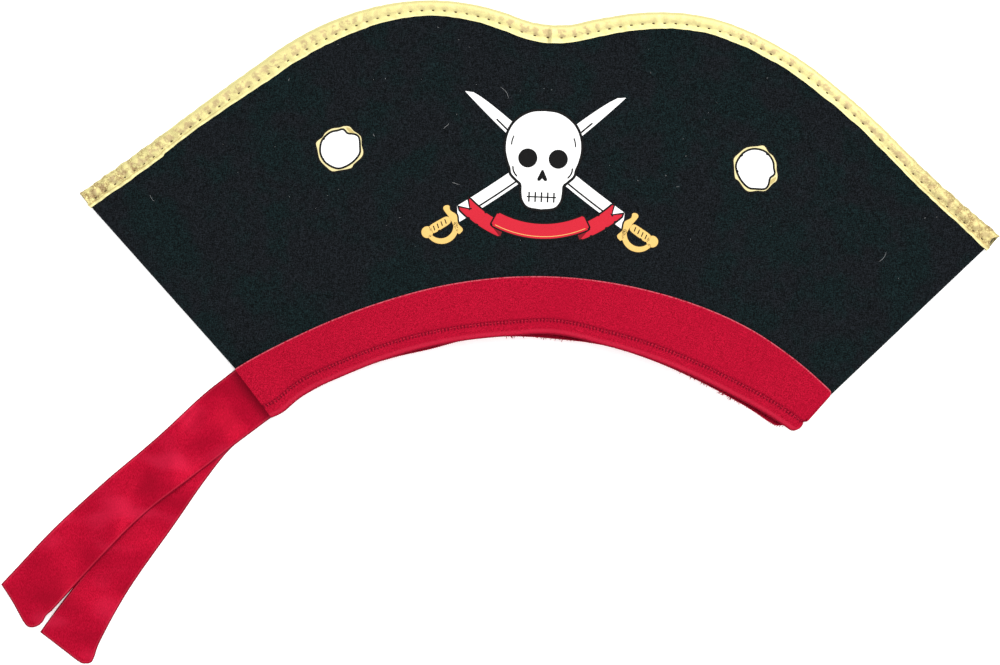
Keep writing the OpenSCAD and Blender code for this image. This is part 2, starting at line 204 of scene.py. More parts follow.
def topEdge(s):
    # Points s along the top edge from the dip, left is negative, and the way out of the hat there
    side, s = np.sign(s), np.abs(s)
    inDip = np.minimum(s, dipLength) / dipR
    onHump = math.pi / 2 + dipA - np.clip(s - dipLength, 0, humpLength) / cut["humpR"]
    past = s - dipLength - humpLength
    x = np.where(s < dipLength, dipR * np.sin(inDip), cut["humpX"] + cut["humpR"] * np.cos(onHump))
    y = np.where(s < dipLength, dipCy - dipR * np.cos(inDip), humpCy + cut["humpR"] * np.sin(onHump))
    x = np.where(past > 0, x + past * math.sin(tipA), x)
    y = np.where(past > 0, y - past * math.cos(tipA), y)
    outX = np.where(s < dipLength, -np.sin(inDip), np.cos(onHump))
    outY = np.where(s < dipLength, np.cos(inDip), np.sin(onHump))
    flip = np.where(side < 0, -1, 1)
    return np.stack([x * flip, y], -1), np.stack([outX * flip, outY], -1)


def topLine(inset, step=2.5):   # the top edge from the left tip to the right one, moved in
    s = np.linspace(-edgeLength, edgeLength, int(2 * edgeLength / step))
    points, out = topEdge(s)
    return points - (inset + valueAt(tape["wander"], s))[:, None] * out


def onBand(radius, angle):   # a place on the band, the angle in degrees from the centre line
    a = np.radians(angle)
    return np.stack([radius * np.sin(a), mouthCy + radius * np.cos(a)], -1)


def feltFoot(angle):   # the felt ends just inside the front band's fold
    return valueAt(band["foot"], angle) + 1.3 + 6 * smooth((angle - 36.9) / 2.2)


bandFoot = onBand(cut["mouthR"], cut["bandA"])
bandTop = onBand(cut["mouthR"] + cut["bandW"], cut["bandA"])
sideTop = topLine(tape["width"])[-1]
innerEdge = topLine(tape["width"], 4)
innerEdge = innerEdge[innerEdge[:, 0] > cut["humpX"]][::-1]
borderY = np.concatenate([[bandFoot[1], bandTop[1]], innerEdge[:, 1]])
borderX = np.concatenate([[bandFoot[0], bandTop[0]], innerEdge[:, 0]])


def sideX(y):   # distance from the centre line to the hat's side, inside the binding
    return np.interp(y, borderY, borderX)


panel = {
    "backTop": 2.0,       # upper face of the back panel
    "top": 3.8,           # upper face of the front panel where it is sewn down
    "thick": 1.4,
    "bendY": frame["joints"][0]["pos_m"][1] / mm,
    "bendOver": 70,       # length over which it bends as the mouth opens
    "free": 20,           # half the width that then swings fully
    "standOff": 4.9,      # degrees that the front panel stands open
    "ease": 14,           # how softly it starts to rise
    "flat": 34,           # half the width that stands fully off
    "wave": 0.5,          # height of the felt's slow waves
    "roll": 2.4,          # how far in the turned side edges start to curve down
}


def rising(x, y):   # how far the front panel stands off the back one
    depth = np.maximum(0, panel["bendY"] - y)
    ramp = depth**2 / (depth + panel["ease"])
    t = (np.abs(x) - panel["flat"]) / (sideX(y) - panel["flat"])
    return math.tan(math.radians(panel["standOff"])) * ramp * (1 - smooth(t))


def feltTop(x, y):   # height of the front panel's face
    inward = smooth((sideX(y) - np.abs(x)) / 40) * smooth((panel["bendY"] - y) / 40)
    return panel["top"] + rising(x, y) + panel["wave"] * inward * hills(x, y, 46, 5)


def inside(points, loops):   # which points lie within the loops, holes left out
    crossings = np.zeros(len(points), int)
    for loop in loops:
        a, b = loop, np.roll(loop, -1, axis=0)
        for part in range(0, len(points), 2000):
            x, y = points[part:part + 2000, 0:1], points[part:part + 2000, 1:2]
            spans = (a[:, 1] > y) != (b[:, 1] > y)
            with np.errstate(divide="ignore", invalid="ignore"):
                at = a[:, 0] + (y - a[:, 1]) / (b[:, 1] - a[:, 1]) * (b[:, 0] - a[:, 0])
            crossings[part:part + 2000] += (spans & (x < at)).sum(1)
    return crossings % 2 == 1


def fromEdge(points, loops):   # distance of each point from the nearest edge
    best = np.full(len(points), np.inf)
    for loop in loops:
        a, d = loop, np.roll(loop, -1, axis=0) - loop
        for part in range(0, len(points), 1000):
            away = points[part:part + 1000, None] - a
            t = np.clip((away * d).sum(2) / np.maximum((d * d).sum(1), 1e-12), 0, 1)
            found = np.linalg.norm(away - t[..., None] * d, axis=2).min(1)
            best[part:part + 1000] = np.minimum(best[part:part + 1000], found)
    return best


def stepped(loop, step):   # an outline's sides with points along them
    sides = zip(loop, np.roll(loop, -1, axis=0))
    return np.vstack([evenly(np.array(side), step)[:-1] for side in sides])


def outward(loop):   # the way out of an outline at each point, if it runs round to the left
    along = np.roll(loop, -1, axis=0) - np.roll(loop, 1, axis=0)
    out = np.stack([along[:, 1], -along[:, 0]], 1)
    return out / np.maximum(np.linalg.norm(along, axis=1), 1e-9)[:, None]


def cutOut(loops, step, rings):
    # Fills an outline with triangles. The rings are extra rows of points just inside its edge.
    loops = [stepped(loop, step) for loop in loops]
    rim = np.vstack(loops)
    extra = []
    for loop in loops:
        for ring in rings:
            for side in (-1, 1):
                row = loop + side * ring * outward(loop)
                row = row[inside(row, loops)]
                extra.append(row[fromEdge(row, loops) > 0.9 * ring] if len(row) else row)
    low, high = rim.min(0), rim.max(0)
    ys = np.arange(low[1], high[1], step * 0.866)
    xs = np.arange(low[0], high[0], step)
    grid = np.array([(x + (i % 2) * step / 2, y) for i, y in enumerate(ys) for x in xs])
    grid = grid[inside(grid, loops)]
    grid = grid[fromEdge(grid, loops) > max(rings) + 0.45 * step]
    points = np.vstack([rim, *extra, grid])
    edges, first = [], 0
    for loop in loops:
        edges += [(first + i, first + (i + 1) % len(loop)) for i in range(len(loop))]
        first += len(loop)
    made = delaunay_2d_cdt([tuple(p) for p in points], edges, [], 0, 1e-6)
    points, faces = np.array([tuple(v) for v in made[0]]), np.array(made[2])
    faces = faces[inside(points[faces].mean(1), loops)]
    a, b, c = (points[faces[:, k]] for k in range(3))
    turn = (b[:, 0] - a[:, 0]) * (c[:, 1] - a[:, 1]) - (b[:, 1] - a[:, 1]) * (c[:, 0] - a[:, 0])
    faces[turn < 0] = faces[turn < 0][:, ::-1]
    faces = faces[np.abs(turn) > 1e-7]
    away = fromEdge(points, loops)
    away[away < 1e-4] = 0
    return points, faces, away


def meshPiece(name, points, faces, finish, sharp=50):
    mesh = bpy.data.meshes.new(name)
    mesh.from_pydata((np.asarray(points, float) * mm).tolist(), [], [tuple(int(i) for i in f) for f in faces])
    mesh.validate()
    mesh.shade_smooth()
    mesh.set_sharp_from_angle(angle=math.radians(sharp))
    piece = bpy.data.objects.new(name, mesh)
    bpy.context.scene.collection.objects.link(piece)
    mesh.materials.append(finish)
    return piece


def keepPlace(piece, places):   # how each point lies on the cloth, for the finish to read
    kept = piece.data.attributes.get("laid") or piece.data.attributes.new("laid", "FLOAT_VECTOR", "POINT")
    kept.data.foreach_set("vector", np.asarray(places, np.float32).ravel())
    return piece


def flatPiece(name, loops, step, top, bottom, finish, edge=0.5, rings=None):
    # A cloth or print cut to an outline. Its two faces close in a round edge.
    points, faces, away = cutOut(loops, step, rings or (0.25 * edge, edge))
    x, y = points[:, 0], points[:, 1]
    upper, lower = top(x, y, away), bottom(x, y, away)
    full = np.sqrt(1 - (1 - np.clip(away / edge, 0, 1))**2)
    middle, half = (upper + lower) / 2, (upper - lower) / 2 * full
    onRim = away == 0
    faces = faces[~onRim[faces].all(1)]
    index = np.arange(len(points))
    index[~onRim] = len(points) + np.arange((~onRim).sum())
    above = np.stack([x, y, middle + half], 1)
    below = np.stack([x, y, middle - half], 1)[~onRim]
    piece = meshPiece(name, np.vstack([above, below]), np.vstack([faces, index[faces][:, ::-1]]), finish)
    fromRim = np.concatenate([away, away[~onRim]])
    return keepPlace(piece, np.column_stack([fromRim, 0 * fromRim, 0 * fromRim]))


def sweptPiece(name, rings, finish, sharp=50):   # rings of points joined one after another, both ends closed
    rings = np.asarray(rings, float)
    n, m = rings.shape[:2]
    cell = np.arange((n - 1) * m)
    nextOne = cell - cell % m + (cell + 1) % m
    faces = [tuple(f) for f in np.stack([cell, nextOne, nextOne + m, cell + m], 1)]
    faces += [tuple(range(m))[::-1], tuple(range((n - 1) * m, n * m))]
    return meshPiece(name, rings.reshape(-1, 3), faces, finish, sharp)


def threads(name, lines, radius, finish, sides=6):
    # Many short threads in one piece. Each is a line of points in space, thinner at its two ends.
    allPoints, allFaces, first = [], [], 0
    turn = np.linspace(0, 2 * math.pi, sides, endpoint=False)
    for line in lines:
        line = np.asarray(line, float)
        along = np.gradient(line, axis=0)
        along /= np.maximum(np.linalg.norm(along, axis=1), 1e-9)[:, None]
        beside = np.cross(along, (0, 0, 1))
        small = np.linalg.norm(beside, axis=1) < 0.2
        beside[small] = np.cross(along[small], (1, 0, 0))
        beside /= np.linalg.norm(beside, axis=1)[:, None]
        over = np.cross(beside, along)
        size = radius * (1 - 0.65 * np.abs(np.linspace(-1, 1, len(line)))**4)
        ring = line[:, None] + size[:, None, None] * (
            np.cos(turn)[None, :, None] * beside[:, None] + np.sin(turn)[None, :, None] * over[:, None])
        cell = np.arange((len(line) - 1) * sides)
        nextOne = cell - cell % sides + (cell + 1) % sides
        allFaces += [tuple(f) for f in first + np.stack([cell + sides, nextOne + sides, nextOne, cell], 1)]
        allFaces += [tuple(range(first, first + sides))]
        allFaces += [tuple(range(first + (len(line) - 1) * sides, first + len(line) * sides))[::-1]]
        allPoints.append(ring.reshape(-1, 3))
        first += len(line) * sides
    return meshPiece(name, np.vstack(allPoints), allFaces, finish, 80)


up = np.array([0, 0, 1])


def stitchLine(middle, along, outOfCloth, length, height, sink=0.12):
    # One stitch: an arch that dives into the cloth at both ends
    t = np.linspace(-1, 1, 7)[:, None]
    return middle + along * t * length / 2 + outOfCloth * (height * (1 - t**4) - sink)


def bendWithMouth(piece):
    # Follows the front panel: free in the middle, held at its sewn sides and top
    start, end = (0, panel["bendY"] * mm, 0), (0, (panel["bendY"] - panel["bendOver"]) * mm, 0)
    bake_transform(piece, "root", "front", start=start, end=end)
    points = np.array([v.co for v in piece.data.vertices]) / mm
    free = 1 - smooth((np.abs(points[:, 0]) - panel["free"]) / (sideX(points[:, 1]) - panel["free"]))
    share = piece.data.attributes["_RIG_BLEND"].data
    held = np.array([d.value for d in share])
    share.foreach_set("value", (held * free).astype(np.float32))
    return piece


class Amount:   # a number that a finish works out at each point
    def __init__(self, tree, socket):
        self.tree, self.socket = tree, socket

    def worked(self, how, a, b=0.0):
        made = self.tree.nodes.new("ShaderNodeMath")
        made.operation = how
        for socket, value in zip(made.inputs, (a, b)):
            if isinstance(value, Amount):
                self.tree.links.new(value.socket, socket)
            else:
                socket.default_value = value
        return Amount(self.tree, made.outputs[0])

    def __add__(self, other):
        return self.worked("ADD", self, other)

    def __sub__(self, other):
        return self.worked("SUBTRACT", self, other)

    def __rsub__(self, other):
        return self.worked("SUBTRACT", other, self)

    def __mul__(self, other):
        return self.worked("MULTIPLY", self, other)

    def size(self):   # without its sign
        return self.worked("ABSOLUTE", self)

    def most(self, other):
        return self.worked("MAXIMUM", self, other)

    def wave(self, kind, length):
        return self.worked(kind, self * (2 * math.pi / length))

    def between(self, low, high):   # 0 below low, 1 above high
        made = self.tree.nodes.new("ShaderNodeMapRange")
        made.interpolation_type = "SMOOTHSTEP"
        made.inputs["From Min"].default_value = low
        made.inputs["From Max"].default_value = high
        self.tree.links.new(self.socket, made.inputs["Value"])
        return Amount(self.tree, made.outputs["Result"])

    def near(self, line, half, soft):   # 1 on a line, 0 away from it
        return 1.0 - (self - line).size().between(half, half + soft)


class Finish:   # one material, tinted step by step
    def __init__(self, name, colour, roughness, metallic=0.0, gloss=0.5):
        self.material = bpy.data.materials.new(name)
        self.material.use_nodes = True
        self.tree = self.material.node_tree
        self.shader = self.tree.nodes["Principled BSDF"]
        self.colour = None
        self.set("Base Color", (*colour, 1))
        self.set("Roughness", roughness)
        self.set("Metallic", metallic)
        self.set("Specular IOR Level", gloss)
        self.at = self.place()

    def set(self, socket, value):
        self.shader.inputs[socket].default_value = value

    def drive(self, socket, amount):
        self.tree.links.new(amount.socket, self.shader.inputs[socket])

    def place(self, stretch=(1, 1, 1), turn=0):   # where a point is on the piece, in millimetres
        here = self.tree.nodes.new("ShaderNodeTexCoord").outputs["Object"]
        scaled = self.tree.nodes.new("ShaderNodeMapping")
        scaled.inputs["Rotation"].default_value = (0, 0, math.radians(turn))
        scaled.inputs["Scale"].default_value = [s / mm for s in stretch]
        self.tree.links.new(here, scaled.inputs["Vector"])
        return scaled.outputs["Vector"]

    def kept(self):   # the distances kept by keepPlace
        made = self.tree.nodes.new("ShaderNodeAttribute")
        made.attribute_name = "laid"
        return made.outputs["Vector"]

    def laid(self):   # the same, one by one
        apart = self.tree.nodes.new("ShaderNodeSeparateXYZ")
        self.tree.links.new(self.kept(), apart.inputs[0])
        return [Amount(self.tree, one) for one in apart.outputs]

    def grain(self, size, detail=2.0, rough=0.5, warp=0.0, at=None):
        made = self.tree.nodes.new("ShaderNodeTexNoise")
        made.inputs["Scale"].default_value = 1 / size
        made.inputs["Detail"].default_value = detail
        made.inputs["Roughness"].default_value = rough
        made.inputs["Distortion"].default_value = warp
        self.tree.links.new(at or self.at, made.inputs["Vector"])
        return Amount(self.tree, made.outputs["Fac"])

    def weave(self, size, way, turn):
        made = self.tree.nodes.new("ShaderNodeTexWave")
        made.bands_direction = way
        made.inputs["Scale"].default_value = 0.314 / size   # its waves are 0.314 long at scale 1
        made.inputs["Distortion"].default_value = 1.2
        made.inputs["Detail"].default_value = 1.0
        made.inputs["Detail Scale"].default_value = 2.0
        self.tree.links.new(self.place(turn=turn), made.inputs["Vector"])
        return Amount(self.tree, made.outputs["Fac"])

    def cracks(self, size):   # distance from the nearest crack
        made = self.tree.nodes.new("ShaderNodeTexVoronoi")
        made.feature = "DISTANCE_TO_EDGE"
        made.inputs["Scale"].default_value = 1 / size
        self.tree.links.new(self.kept(), made.inputs["Vector"])
        return Amount(self.tree, made.outputs["Distance"])

    def mixed(self, share, a, b):   # colour a where the share is 0, b where it is 1
        made = self.tree.nodes.new("ShaderNodeMix")
        made.data_type = "RGBA"
        self.tree.links.new(share.socket, made.inputs[0])
        for socket, value in ((made.inputs[6], a), (made.inputs[7], b)):
            if isinstance(value, tuple):
                socket.default_value = (*value, 1)
            else:
                self.tree.links.new(value, socket)
        return made.outputs[2]

    def tint(self, share, colour):
        self.colour = self.mixed(share, self.colour, colour)

    def finished(self, height=None, depth=0.0, strength=1.0):   # depth of the grain in millimetres
        if self.colour:
            self.tree.links.new(self.colour, self.shader.inputs["Base Color"])
        if height:
            bump = self.tree.nodes.new("ShaderNodeBump")
            bump.inputs["Strength"].default_value = strength
            bump.inputs["Distance"].default_value = depth * mm
            self.tree.links.new(height.socket, bump.inputs["Height"])
            self.tree.links.new(bump.outputs["Normal"], self.shader.inputs["Normal"])
        return self.material


def makeFelt():
    finish = Finish("blackFelt", (0.005, 0.008, 0.009), 0.95, gloss=0.08)
    finish.set("Sheen Weight", 0.02)
    finish.set("Sheen Roughness", 0.6)
    finish.set("Sheen Tint", (0.75, 0.9, 1, 1))
    hairs = finish.grain(0.4, 2, 0.6, at=finish.place((1, 0.22, 1), 35))
    crossed = finish.grain(0.4, 2, 0.6, at=finish.place((0.22, 1, 1), 20))
    nap = finish.grain(0.55, 3, 0.7) + (hairs + crossed) * 0.5
    lit = nap.between(0.86, 1.24)
    cool = finish.mixed(lit, (0.0001, 0.0008, 0.0009), (0.0072, 0.0186, 0.0202))
    warm = finish.mixed(lit, (0.0003, 0.0007, 0.0010), (0.0122, 0.0152, 0.0192))
    finish.colour = finish.mixed(finish.grain(24, 3, 0.6).between(0.38, 0.58), cool, warm)
    return finish.finished(nap, 0.25, 0.8)


def makeGold():
    finish = Finish("goldTape", (0.88, 0.82, 0.40), 0.42, metallic=0.75)
    s, across = finish.laid()[:2]
    far = s.size()
    # painted tan shade in the puckers by the stitches, fainter over the tops of the humps
    puckerShade = finish.grain(2.6, 3, 0.6, 0.4) + s.wave("COSINE", tape["pitch"]) * 0.07
    puckerShade = puckerShade.between(0.43, 0.6) * across.near(4.8, 1.4, 1.3)
    puckerShade = puckerShade * ((1.0 - far.near(60, 26, 18)) * 0.55 + 0.4)
    finish.colour = finish.mixed(puckerShade, (0.59, 0.53, 0.23), (0.44, 0.34, 0.17))
    finish.tint(s.between(190, 262) * 0.6, (0.47, 0.38, 0.165))
    # a painted highlight along the inner lip, and a line of painted shade where the tape folds over the edge
    finish.tint(across.near(0.3, 0.2, 0.5) * 0.6, (0.70, 0.65, 0.34))
    finish.tint(across.near(9.1, 0.15, 0.5) * 0.5, (0.36, 0.34, 0.20))
    # the foil is creased and cracked towards the tips: painted shade along the crease, then the cracks
    creaseShade = (across + finish.grain(5, 2) * 0.8).near(1.9, 0.05, 0.3)
    finish.tint(creaseShade * far.between(150, 205) * 0.6, (0.36, 0.25, 0.08))
    worn = far.between(175, 262) * finish.grain(4.5, 3, 0.6).between(0.42, 0.58) * across.between(0.8, 2.2)
    lines = 1.0 - finish.cracks(1.3).between(0.02, 0.16)
    cracked = worn * lines.most(finish.grain(0.8, 3, 0.75).between(0.5, 0.6))
    finish.tint(cracked * 0.85, (0.22, 0.12, 0.045))
    finish.drive("Roughness", finish.grain(1.2, 2) * 0.2 + 0.42)
    folds = finish.grain(1.1, 3, 0.6, 0.8) * (far.between(120, 230) * 0.65 + 0.35)
    return finish.finished(folds - cracked * 0.4, 0.22, 0.7)


def makeCrepe(name, sewn):
    finish = Finish(name, (0.38, 0.003, 0.02), 0.88, gloss=0.05)
    cloth = finish.grain(0.5, 3, 0.65) + (finish.weave(0.55, "X", 12) + finish.weave(0.55, "Y", 12)) * 0.2
    finish.colour = finish.mixed(cloth.between(0.52, 0.92), (0.16, 0.0, 0.006), (0.55, 0.0066, 0.036))
    finish.tint(finish.grain(18, 2).between(0.4, 0.7) * 0.35, (0.31, 0.0015, 0.017))
    if sewn:
        # painted shade in the row of stitches and at the very edge of the mouth, painted highlights where the
        # folds catch the light
        run, up, down = finish.laid()
        beat = run.wave("SINE", band["pucker"]) + finish.grain(1.6, 2) * 2.4
        row = (up + beat * 0.35).near(band["stitchIn"] + 0.2, 0.6, 0.9)
        finish.tint(row * (beat.between(0.7, 1.8) * 0.6 + 0.2), (0.10, 0.0005, 0.008))
        finish.tint(up.near(1.3, 0.2, 1.2) * 0.4, (0.52, 0.022, 0.055))
        lit = down.near(0.2, 0.08, 0.3) * finish.grain(0.9, 2).between(0.3, 0.6)
        finish.tint(lit * 0.7, (0.56, 0.13, 0.16))
        # painted shade at the very edge of the mouth, where the band turns under
        finish.tint(up.near(-0.3, 0.3, 0.4) * 0.8, (0.16, 0.001, 0.012))
    return finish.finished(cloth, 0.25, 0.7)


def makeSatin():
    finish = Finish("redSatin", (0.36, 0.003, 0.02), 0.5, metallic=0.35, gloss=0.04)
    fromRim, out = finish.laid()[:2]
    cloth = finish.grain(0.35, 2, 0.6, at=finish.place((1, 0.35, 1), -45)) + finish.weave(0.5, "X", -20) * 0.3
    finish.colour = finish.mixed(cloth.between(0.45, 0.9), (0.23, 0.0003, 0.0095), (0.47, 0.0035, 0.029))
    # painted light and shade in soft bands across the tails, for their folds
    paintedFoldLight = finish.grain(12, 1, 0.3, at=finish.place((0.5, 1, 1), -15))
    finish.tint(paintedFoldLight.between(0.45, 0.8) * 0.6, (0.24, 0.001, 0.012))
    finish.tint((1.0 - paintedFoldLight.between(0.2, 0.5)) * 0.5, (0.48, 0.012, 0.045))
    finish.tint(out.near(-1, 1.5, 6.5) * 0.6, (0.11, 0.0002, 0.006))   # painted shade at the root, under the band's end
    # the turned edges: painted shade at the very rim, then a thin painted highlight over the seam inside
    finish.tint(fromRim.near(0.9, 0.1, 0.35) * 0.22, (0.54, 0.05, 0.085))
    finish.tint(fromRim.near(0.0, 0.2, 0.45) * 0.8, (0.12, 0.001, 0.01))
    finish.drive("Roughness", finish.grain(6, 2, at=finish.place(turn=-45)) * 0.1 + 0.36)
    return finish.finished(cloth, 0.12, 0.6)


def makeThread(name, dark, light):
    finish = Finish(name, dark, 0.8, gloss=0.1)
    strands = finish.grain(0.35, at=finish.place(turn=40))
    finish.colour = finish.mixed(strands.between(0.35, 0.65), dark, light)
    return finish.finished(strands, 0.08)


def makeInk(name, colour, edge):   # screen ink: a little of the felt's grain shows through
    finish = Finish(name, colour, 0.7, gloss=0.08)
    finish.colour = finish.mixed(finish.grain(0.4, 3, 0.7).between(0.4, 0.8), colour, edge)
    return finish.finished(finish.grain(0.7), 0.12, 0.6)


def makeLintFinish():
    finish = Finish("lint", (0.32, 0.34, 0.36), 0.8)
    finish.colour = finish.mixed(finish.grain(6), (0.12, 0.13, 0.14), (0.55, 0.56, 0.56))
    return finish.finished()


felt, gold, satin, lint = makeFelt(), makeGold(), makeSatin(), makeLintFinish()
crepe, sewnCrepe = makeCrepe("redCrepe", False), makeCrepe("sewnCrepe", True)
threadColours = {   # dark and light of each thread's twist
    "tape": ((0.055, 0.034, 0.014), (0.15, 0.10, 0.045)),
    "black": ((0.012, 0.012, 0.013), (0.04, 0.04, 0.042)),
    "red": ((0.38, 0.005, 0.023), (0.57, 0.025, 0.055)),
    "lock": ((0.20, 0.004, 0.016), (0.50, 0.016, 0.055)),
}
inkColours = {   # the ink, and what it looks like where it is thin
    "white": ((0.85, 0.85, 0.84), (0.72, 0.72, 0.71)),
    "gold": ((0.70, 0.47, 0.15), (0.55, 0.34, 0.10)),
    "cream": ((0.70, 0.62, 0.33), (0.52, 0.44, 0.20)),
    "tan": ((0.50, 0.40, 0.16), (0.40, 0.31, 0.12)),
    "dark": ((0.18, 0.008, 0.014), (0.14, 0.005, 0.010)),
    "red": ((0.52, 0.018, 0.035), (0.42, 0.012, 0.022)),
    "black": ((0.004, 0.004, 0.004), (0.010, 0.010, 0.011)),
}
thread = {name: makeThread(name + "Thread", *colours) for name, colours in threadColours.items()}
ink = {name: makeInk(name + "Ink", *colours) for name, colours in inkColours.items()}
print("finishes made")


def feltOutline(inset):
    top = topLine(inset, 3)
    angles = np.linspace(cut["bandA"] - 0.3, 0.3 - cut["bandA"], 90)
    mouth = onBand(feltFoot(angles), angles)
    side = np.array([sideTop, bandTop])
    return np.vstack([top, side, mouth, side[::-1] * (-1, 1)])


def backPanelTop(x, y, away):
    return panel["backTop"] + 0.12 * hills(x, y, 30, 2) * smooth(away / 20) - 0.3 * smooth(1 - away / 3)


def backPanelUnder(x, y, away):
    radius = np.hypot(x, y - mouthCy)
    clear = smooth((radius - cut["mouthR"] - cut["bandW"]) / 4) * smooth((away - 7) / 4)
    return 0.62 - 0.58 * clear


backPanel = flatPiece("backPanel", [feltOutline(1.2)], 3.0, backPanelTop, backPanelUnder, felt, edge=0.6)
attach(backPanel, "root")
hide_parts("back_panel")


def frontPanelTop(x, y, away):
    # The sides are turned and sewn, so they curve down to meet the back panel
    down = 1 - np.sqrt(1 - np.clip(1 - onSideSeam(x, y) / panel["roll"], 0, 1)**2)
    return feltTop(x, y) - 1.5 * down


def onSideSeam(x, y):   # distance in from the line of the side seam
    along = sideTop - bandTop
    along = along / np.linalg.norm(along)
    return -((np.abs(x) - bandTop[0]) * along[1] - (y - bandTop[1]) * along[0])


def frontPanelUnder(x, y, away):
    return np.minimum(feltTop(x, y) - panel["thick"], frontPanelTop(x, y, away) - 0.3)


frontPanel = flatPiece("frontPanel", [feltOutline(1.2)], 2.6, frontPanelTop, frontPanelUnder, felt, edge=0.6)
bendWithMouth(frontPanel)
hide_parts("front_panel", "front_panel_top", "front_panel_sides")
print("felt panels cut")


def foldLine():   # one side of the fold to the other: (distance in from the edge, height)
    high, low, wide = panel["top"] + tape["overFelt"], tape["overTable"], tape["width"]
    line = throughPoints([
        (wide, high), (wide - 2.5, high + 0.04), (5, high + 0.05), (2.6, high), (1.1, high - 0.35),
        (0.35, mix(low, high, 0.62)), (0.35, mix(low, high, 0.38)), (1.1, low + 0.35), (2.6, low), (5, low),
        (wide - 2.5, low), (wide, low)], 6)
    return evenly(line, tape["foldStep"]), (low + high) / 2


def creased(far, over):   # the foil's creases run mostly across the tape, and grow towards the tips
    ends = smooth((np.abs(far) - 150) / 110)
    coarse = hills(far, over * 0.45, 2.6, 11) + 0.6 * hills(far + over, far - over, 3.4, 12)
    fine = hills(far, over * 0.8, 1.3, 13)
    return tape["crumple"] * (0.55 + 0.9 * ends) * (coarse + 0.5 * fine * (0.5 + ends))


def pulledIn(far, inward):   # by each stitch, and by the whole row
    phase = (np.abs(far) + tape["pitch"] / 2) % tape["pitch"] - tape["pitch"] / 2
    sewn = tape["width"] + valueAt(tape["wider"], far[:, :1]) - tape["stitchIn"]
    dimple = tape["dimple"] * np.exp(-(phase / 1.1)**2 - ((inward - sewn) / 0.8)**2)
    return dimple + tape["groove"] * np.exp(-((inward - sewn) / 1.2)**2)


def tucked(far, inward):   # where the tape turns through the dip
    ridge = tape["tuck"] * np.exp(-np.abs(far - 1.0) / 2.2) * (far > 1.0)
    return (ridge - 0.25 * np.exp(-((far + 0.4) / 1.2)**2)) * smooth(inward / 5)


def shapeEnds(layer, ahead, far, across):   # cut straight on the left, with a small notch on the right
    notch = 1.2 - tape["notch"] * np.clip(1 - np.abs(across - 0.45) / 0.4, 0, 1)
    ragged = 0.5 * hills(np.arange(len(across)) * 1.0, np.zeros(len(across)), 1.6, 16)
    rightEnd = smooth((far - (edgeLength - 8)) / 8)
    leftEnd = smooth((-far - (edgeLength - 6)) / 6)
    right, left = rightEnd * (notch + ragged), leftEnd * (0.4 + ragged)
    return layer + ahead * right[..., None] - ahead * left[..., None]


def makeBinding():
    s = np.linspace(-edgeLength, edgeLength, int(2 * edgeLength / 0.8))
    middle, out = topEdge(s)
    fold, halfway = foldLine()
    far = np.repeat(s[:, None], len(fold), 1)
    over = np.repeat(np.arange(len(fold))[None] * tape["foldStep"], len(s), 0)
    inward = fold[:, 0] * (1 + valueAt(tape["wider"], far[:, :1]) / tape["width"])
    height = np.repeat(fold[None, :, 1], len(s), 0)
    upper = height > halfway
    sunk = pulledIn(far, inward) * np.where(upper, 1, -0.3)
    tuck = tucked(far, inward) * upper
    # creases lift the tape the way that the fold's surface faces, less below
    d = np.gradient(fold, axis=0)
    facing = np.stack([d[:, 1], -d[:, 0]], 1) / np.linalg.norm(d, axis=1)[:, None]
    puff = creased(far, over) * np.where(upper, 1, 0.35)
    inward = inward + facing[:, 0] * puff
    height = height + facing[:, 1] * puff - sunk + tuck
    wavy = 0.22 * hills(far, far * 0, 9, 14) + 0.12 * hills(far, far * 0, 3, 15)
    inward = inward + wavy * smooth((inward - 5) / 4) + valueAt(tape["wander"], far[:, :1])
    spots = middle[:, None] - inward[..., None] * out[:, None]
    surface = np.concatenate([spots, np.maximum(height, 0.19)[..., None]], -1)
    lengthways = np.gradient(surface, axis=0)
    way = np.cross(np.gradient(surface, axis=1), lengthways)
    way *= tape["thick"] / 2 / np.linalg.norm(way, axis=2)[..., None]
    ahead = lengthways / np.linalg.norm(lengthways, axis=2)[..., None]
    outer, inner = (
        shapeEnds(layer, ahead, far, fold[:, 0] / tape["width"]) for layer in (surface + way, surface - way))
    outer[..., 2] = np.maximum(outer[..., 2], 0.01)
    rings = np.concatenate([outer, inner[:, ::-1]], axis=1)
    laid = np.stack([far, over, 0 * far], -1)
    laid = np.concatenate([laid, laid[:, ::-1]], axis=1)
    return keepPlace(sweptPiece("goldBinding", rings, gold, 60), laid)


goldBinding = makeBinding()
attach(goldBinding, "root")
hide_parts("gold_binding")


def makeBindingStitches():
    count = int(edgeLength / tape["pitch"])
    lines = []
    for i in range(-count, count + 1):
        s = i * tape["pitch"]
        where, out = (v[0] for v in topEdge(np.array([s + 1e-6])))
        inner = tape["width"] + valueAt(tape["wider"], s) + valueAt(tape["wander"], s)
        spot = where - (inner - tape["stitchIn"]) * out
        way = np.array([out[1], -out[0], 0])
        lines.append(stitchLine(np.array([*spot, panel["top"] + 0.26]), way, up, 1.35, 0.22))
        lines.append(stitchLine(np.array([*spot, 0.4]), way, -up, 3.4, 0.04, 0.02))
    return threads("bindingStitches", lines, 0.34, thread["tape"])


bindingStitches = makeBindingStitches()
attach(bindingStitches, "root")
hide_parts("binding_stitches")
print("gold binding folded and stitched")


def fromEnds(angle):   # distance along the band's middle from its right and left ends
    middleR = cut["mouthR"] + 15
    return math.radians(cut["bandA"] - angle) * middleR, math.radians(cut["bandA"] + angle) * middleR


def standing(angle):   # 1 where the left end stands up, 0 where the band lies down
    return smooth(1 - (fromEnds(angle)[1] - 5) / band["raiseOver"])


def roundedOff(distance, radius):   # how far out a round corner reaches, 0 at the end itself
    return math.sqrt(max(0.0, 1 - max(0.0, 1 - distance / radius)**2))


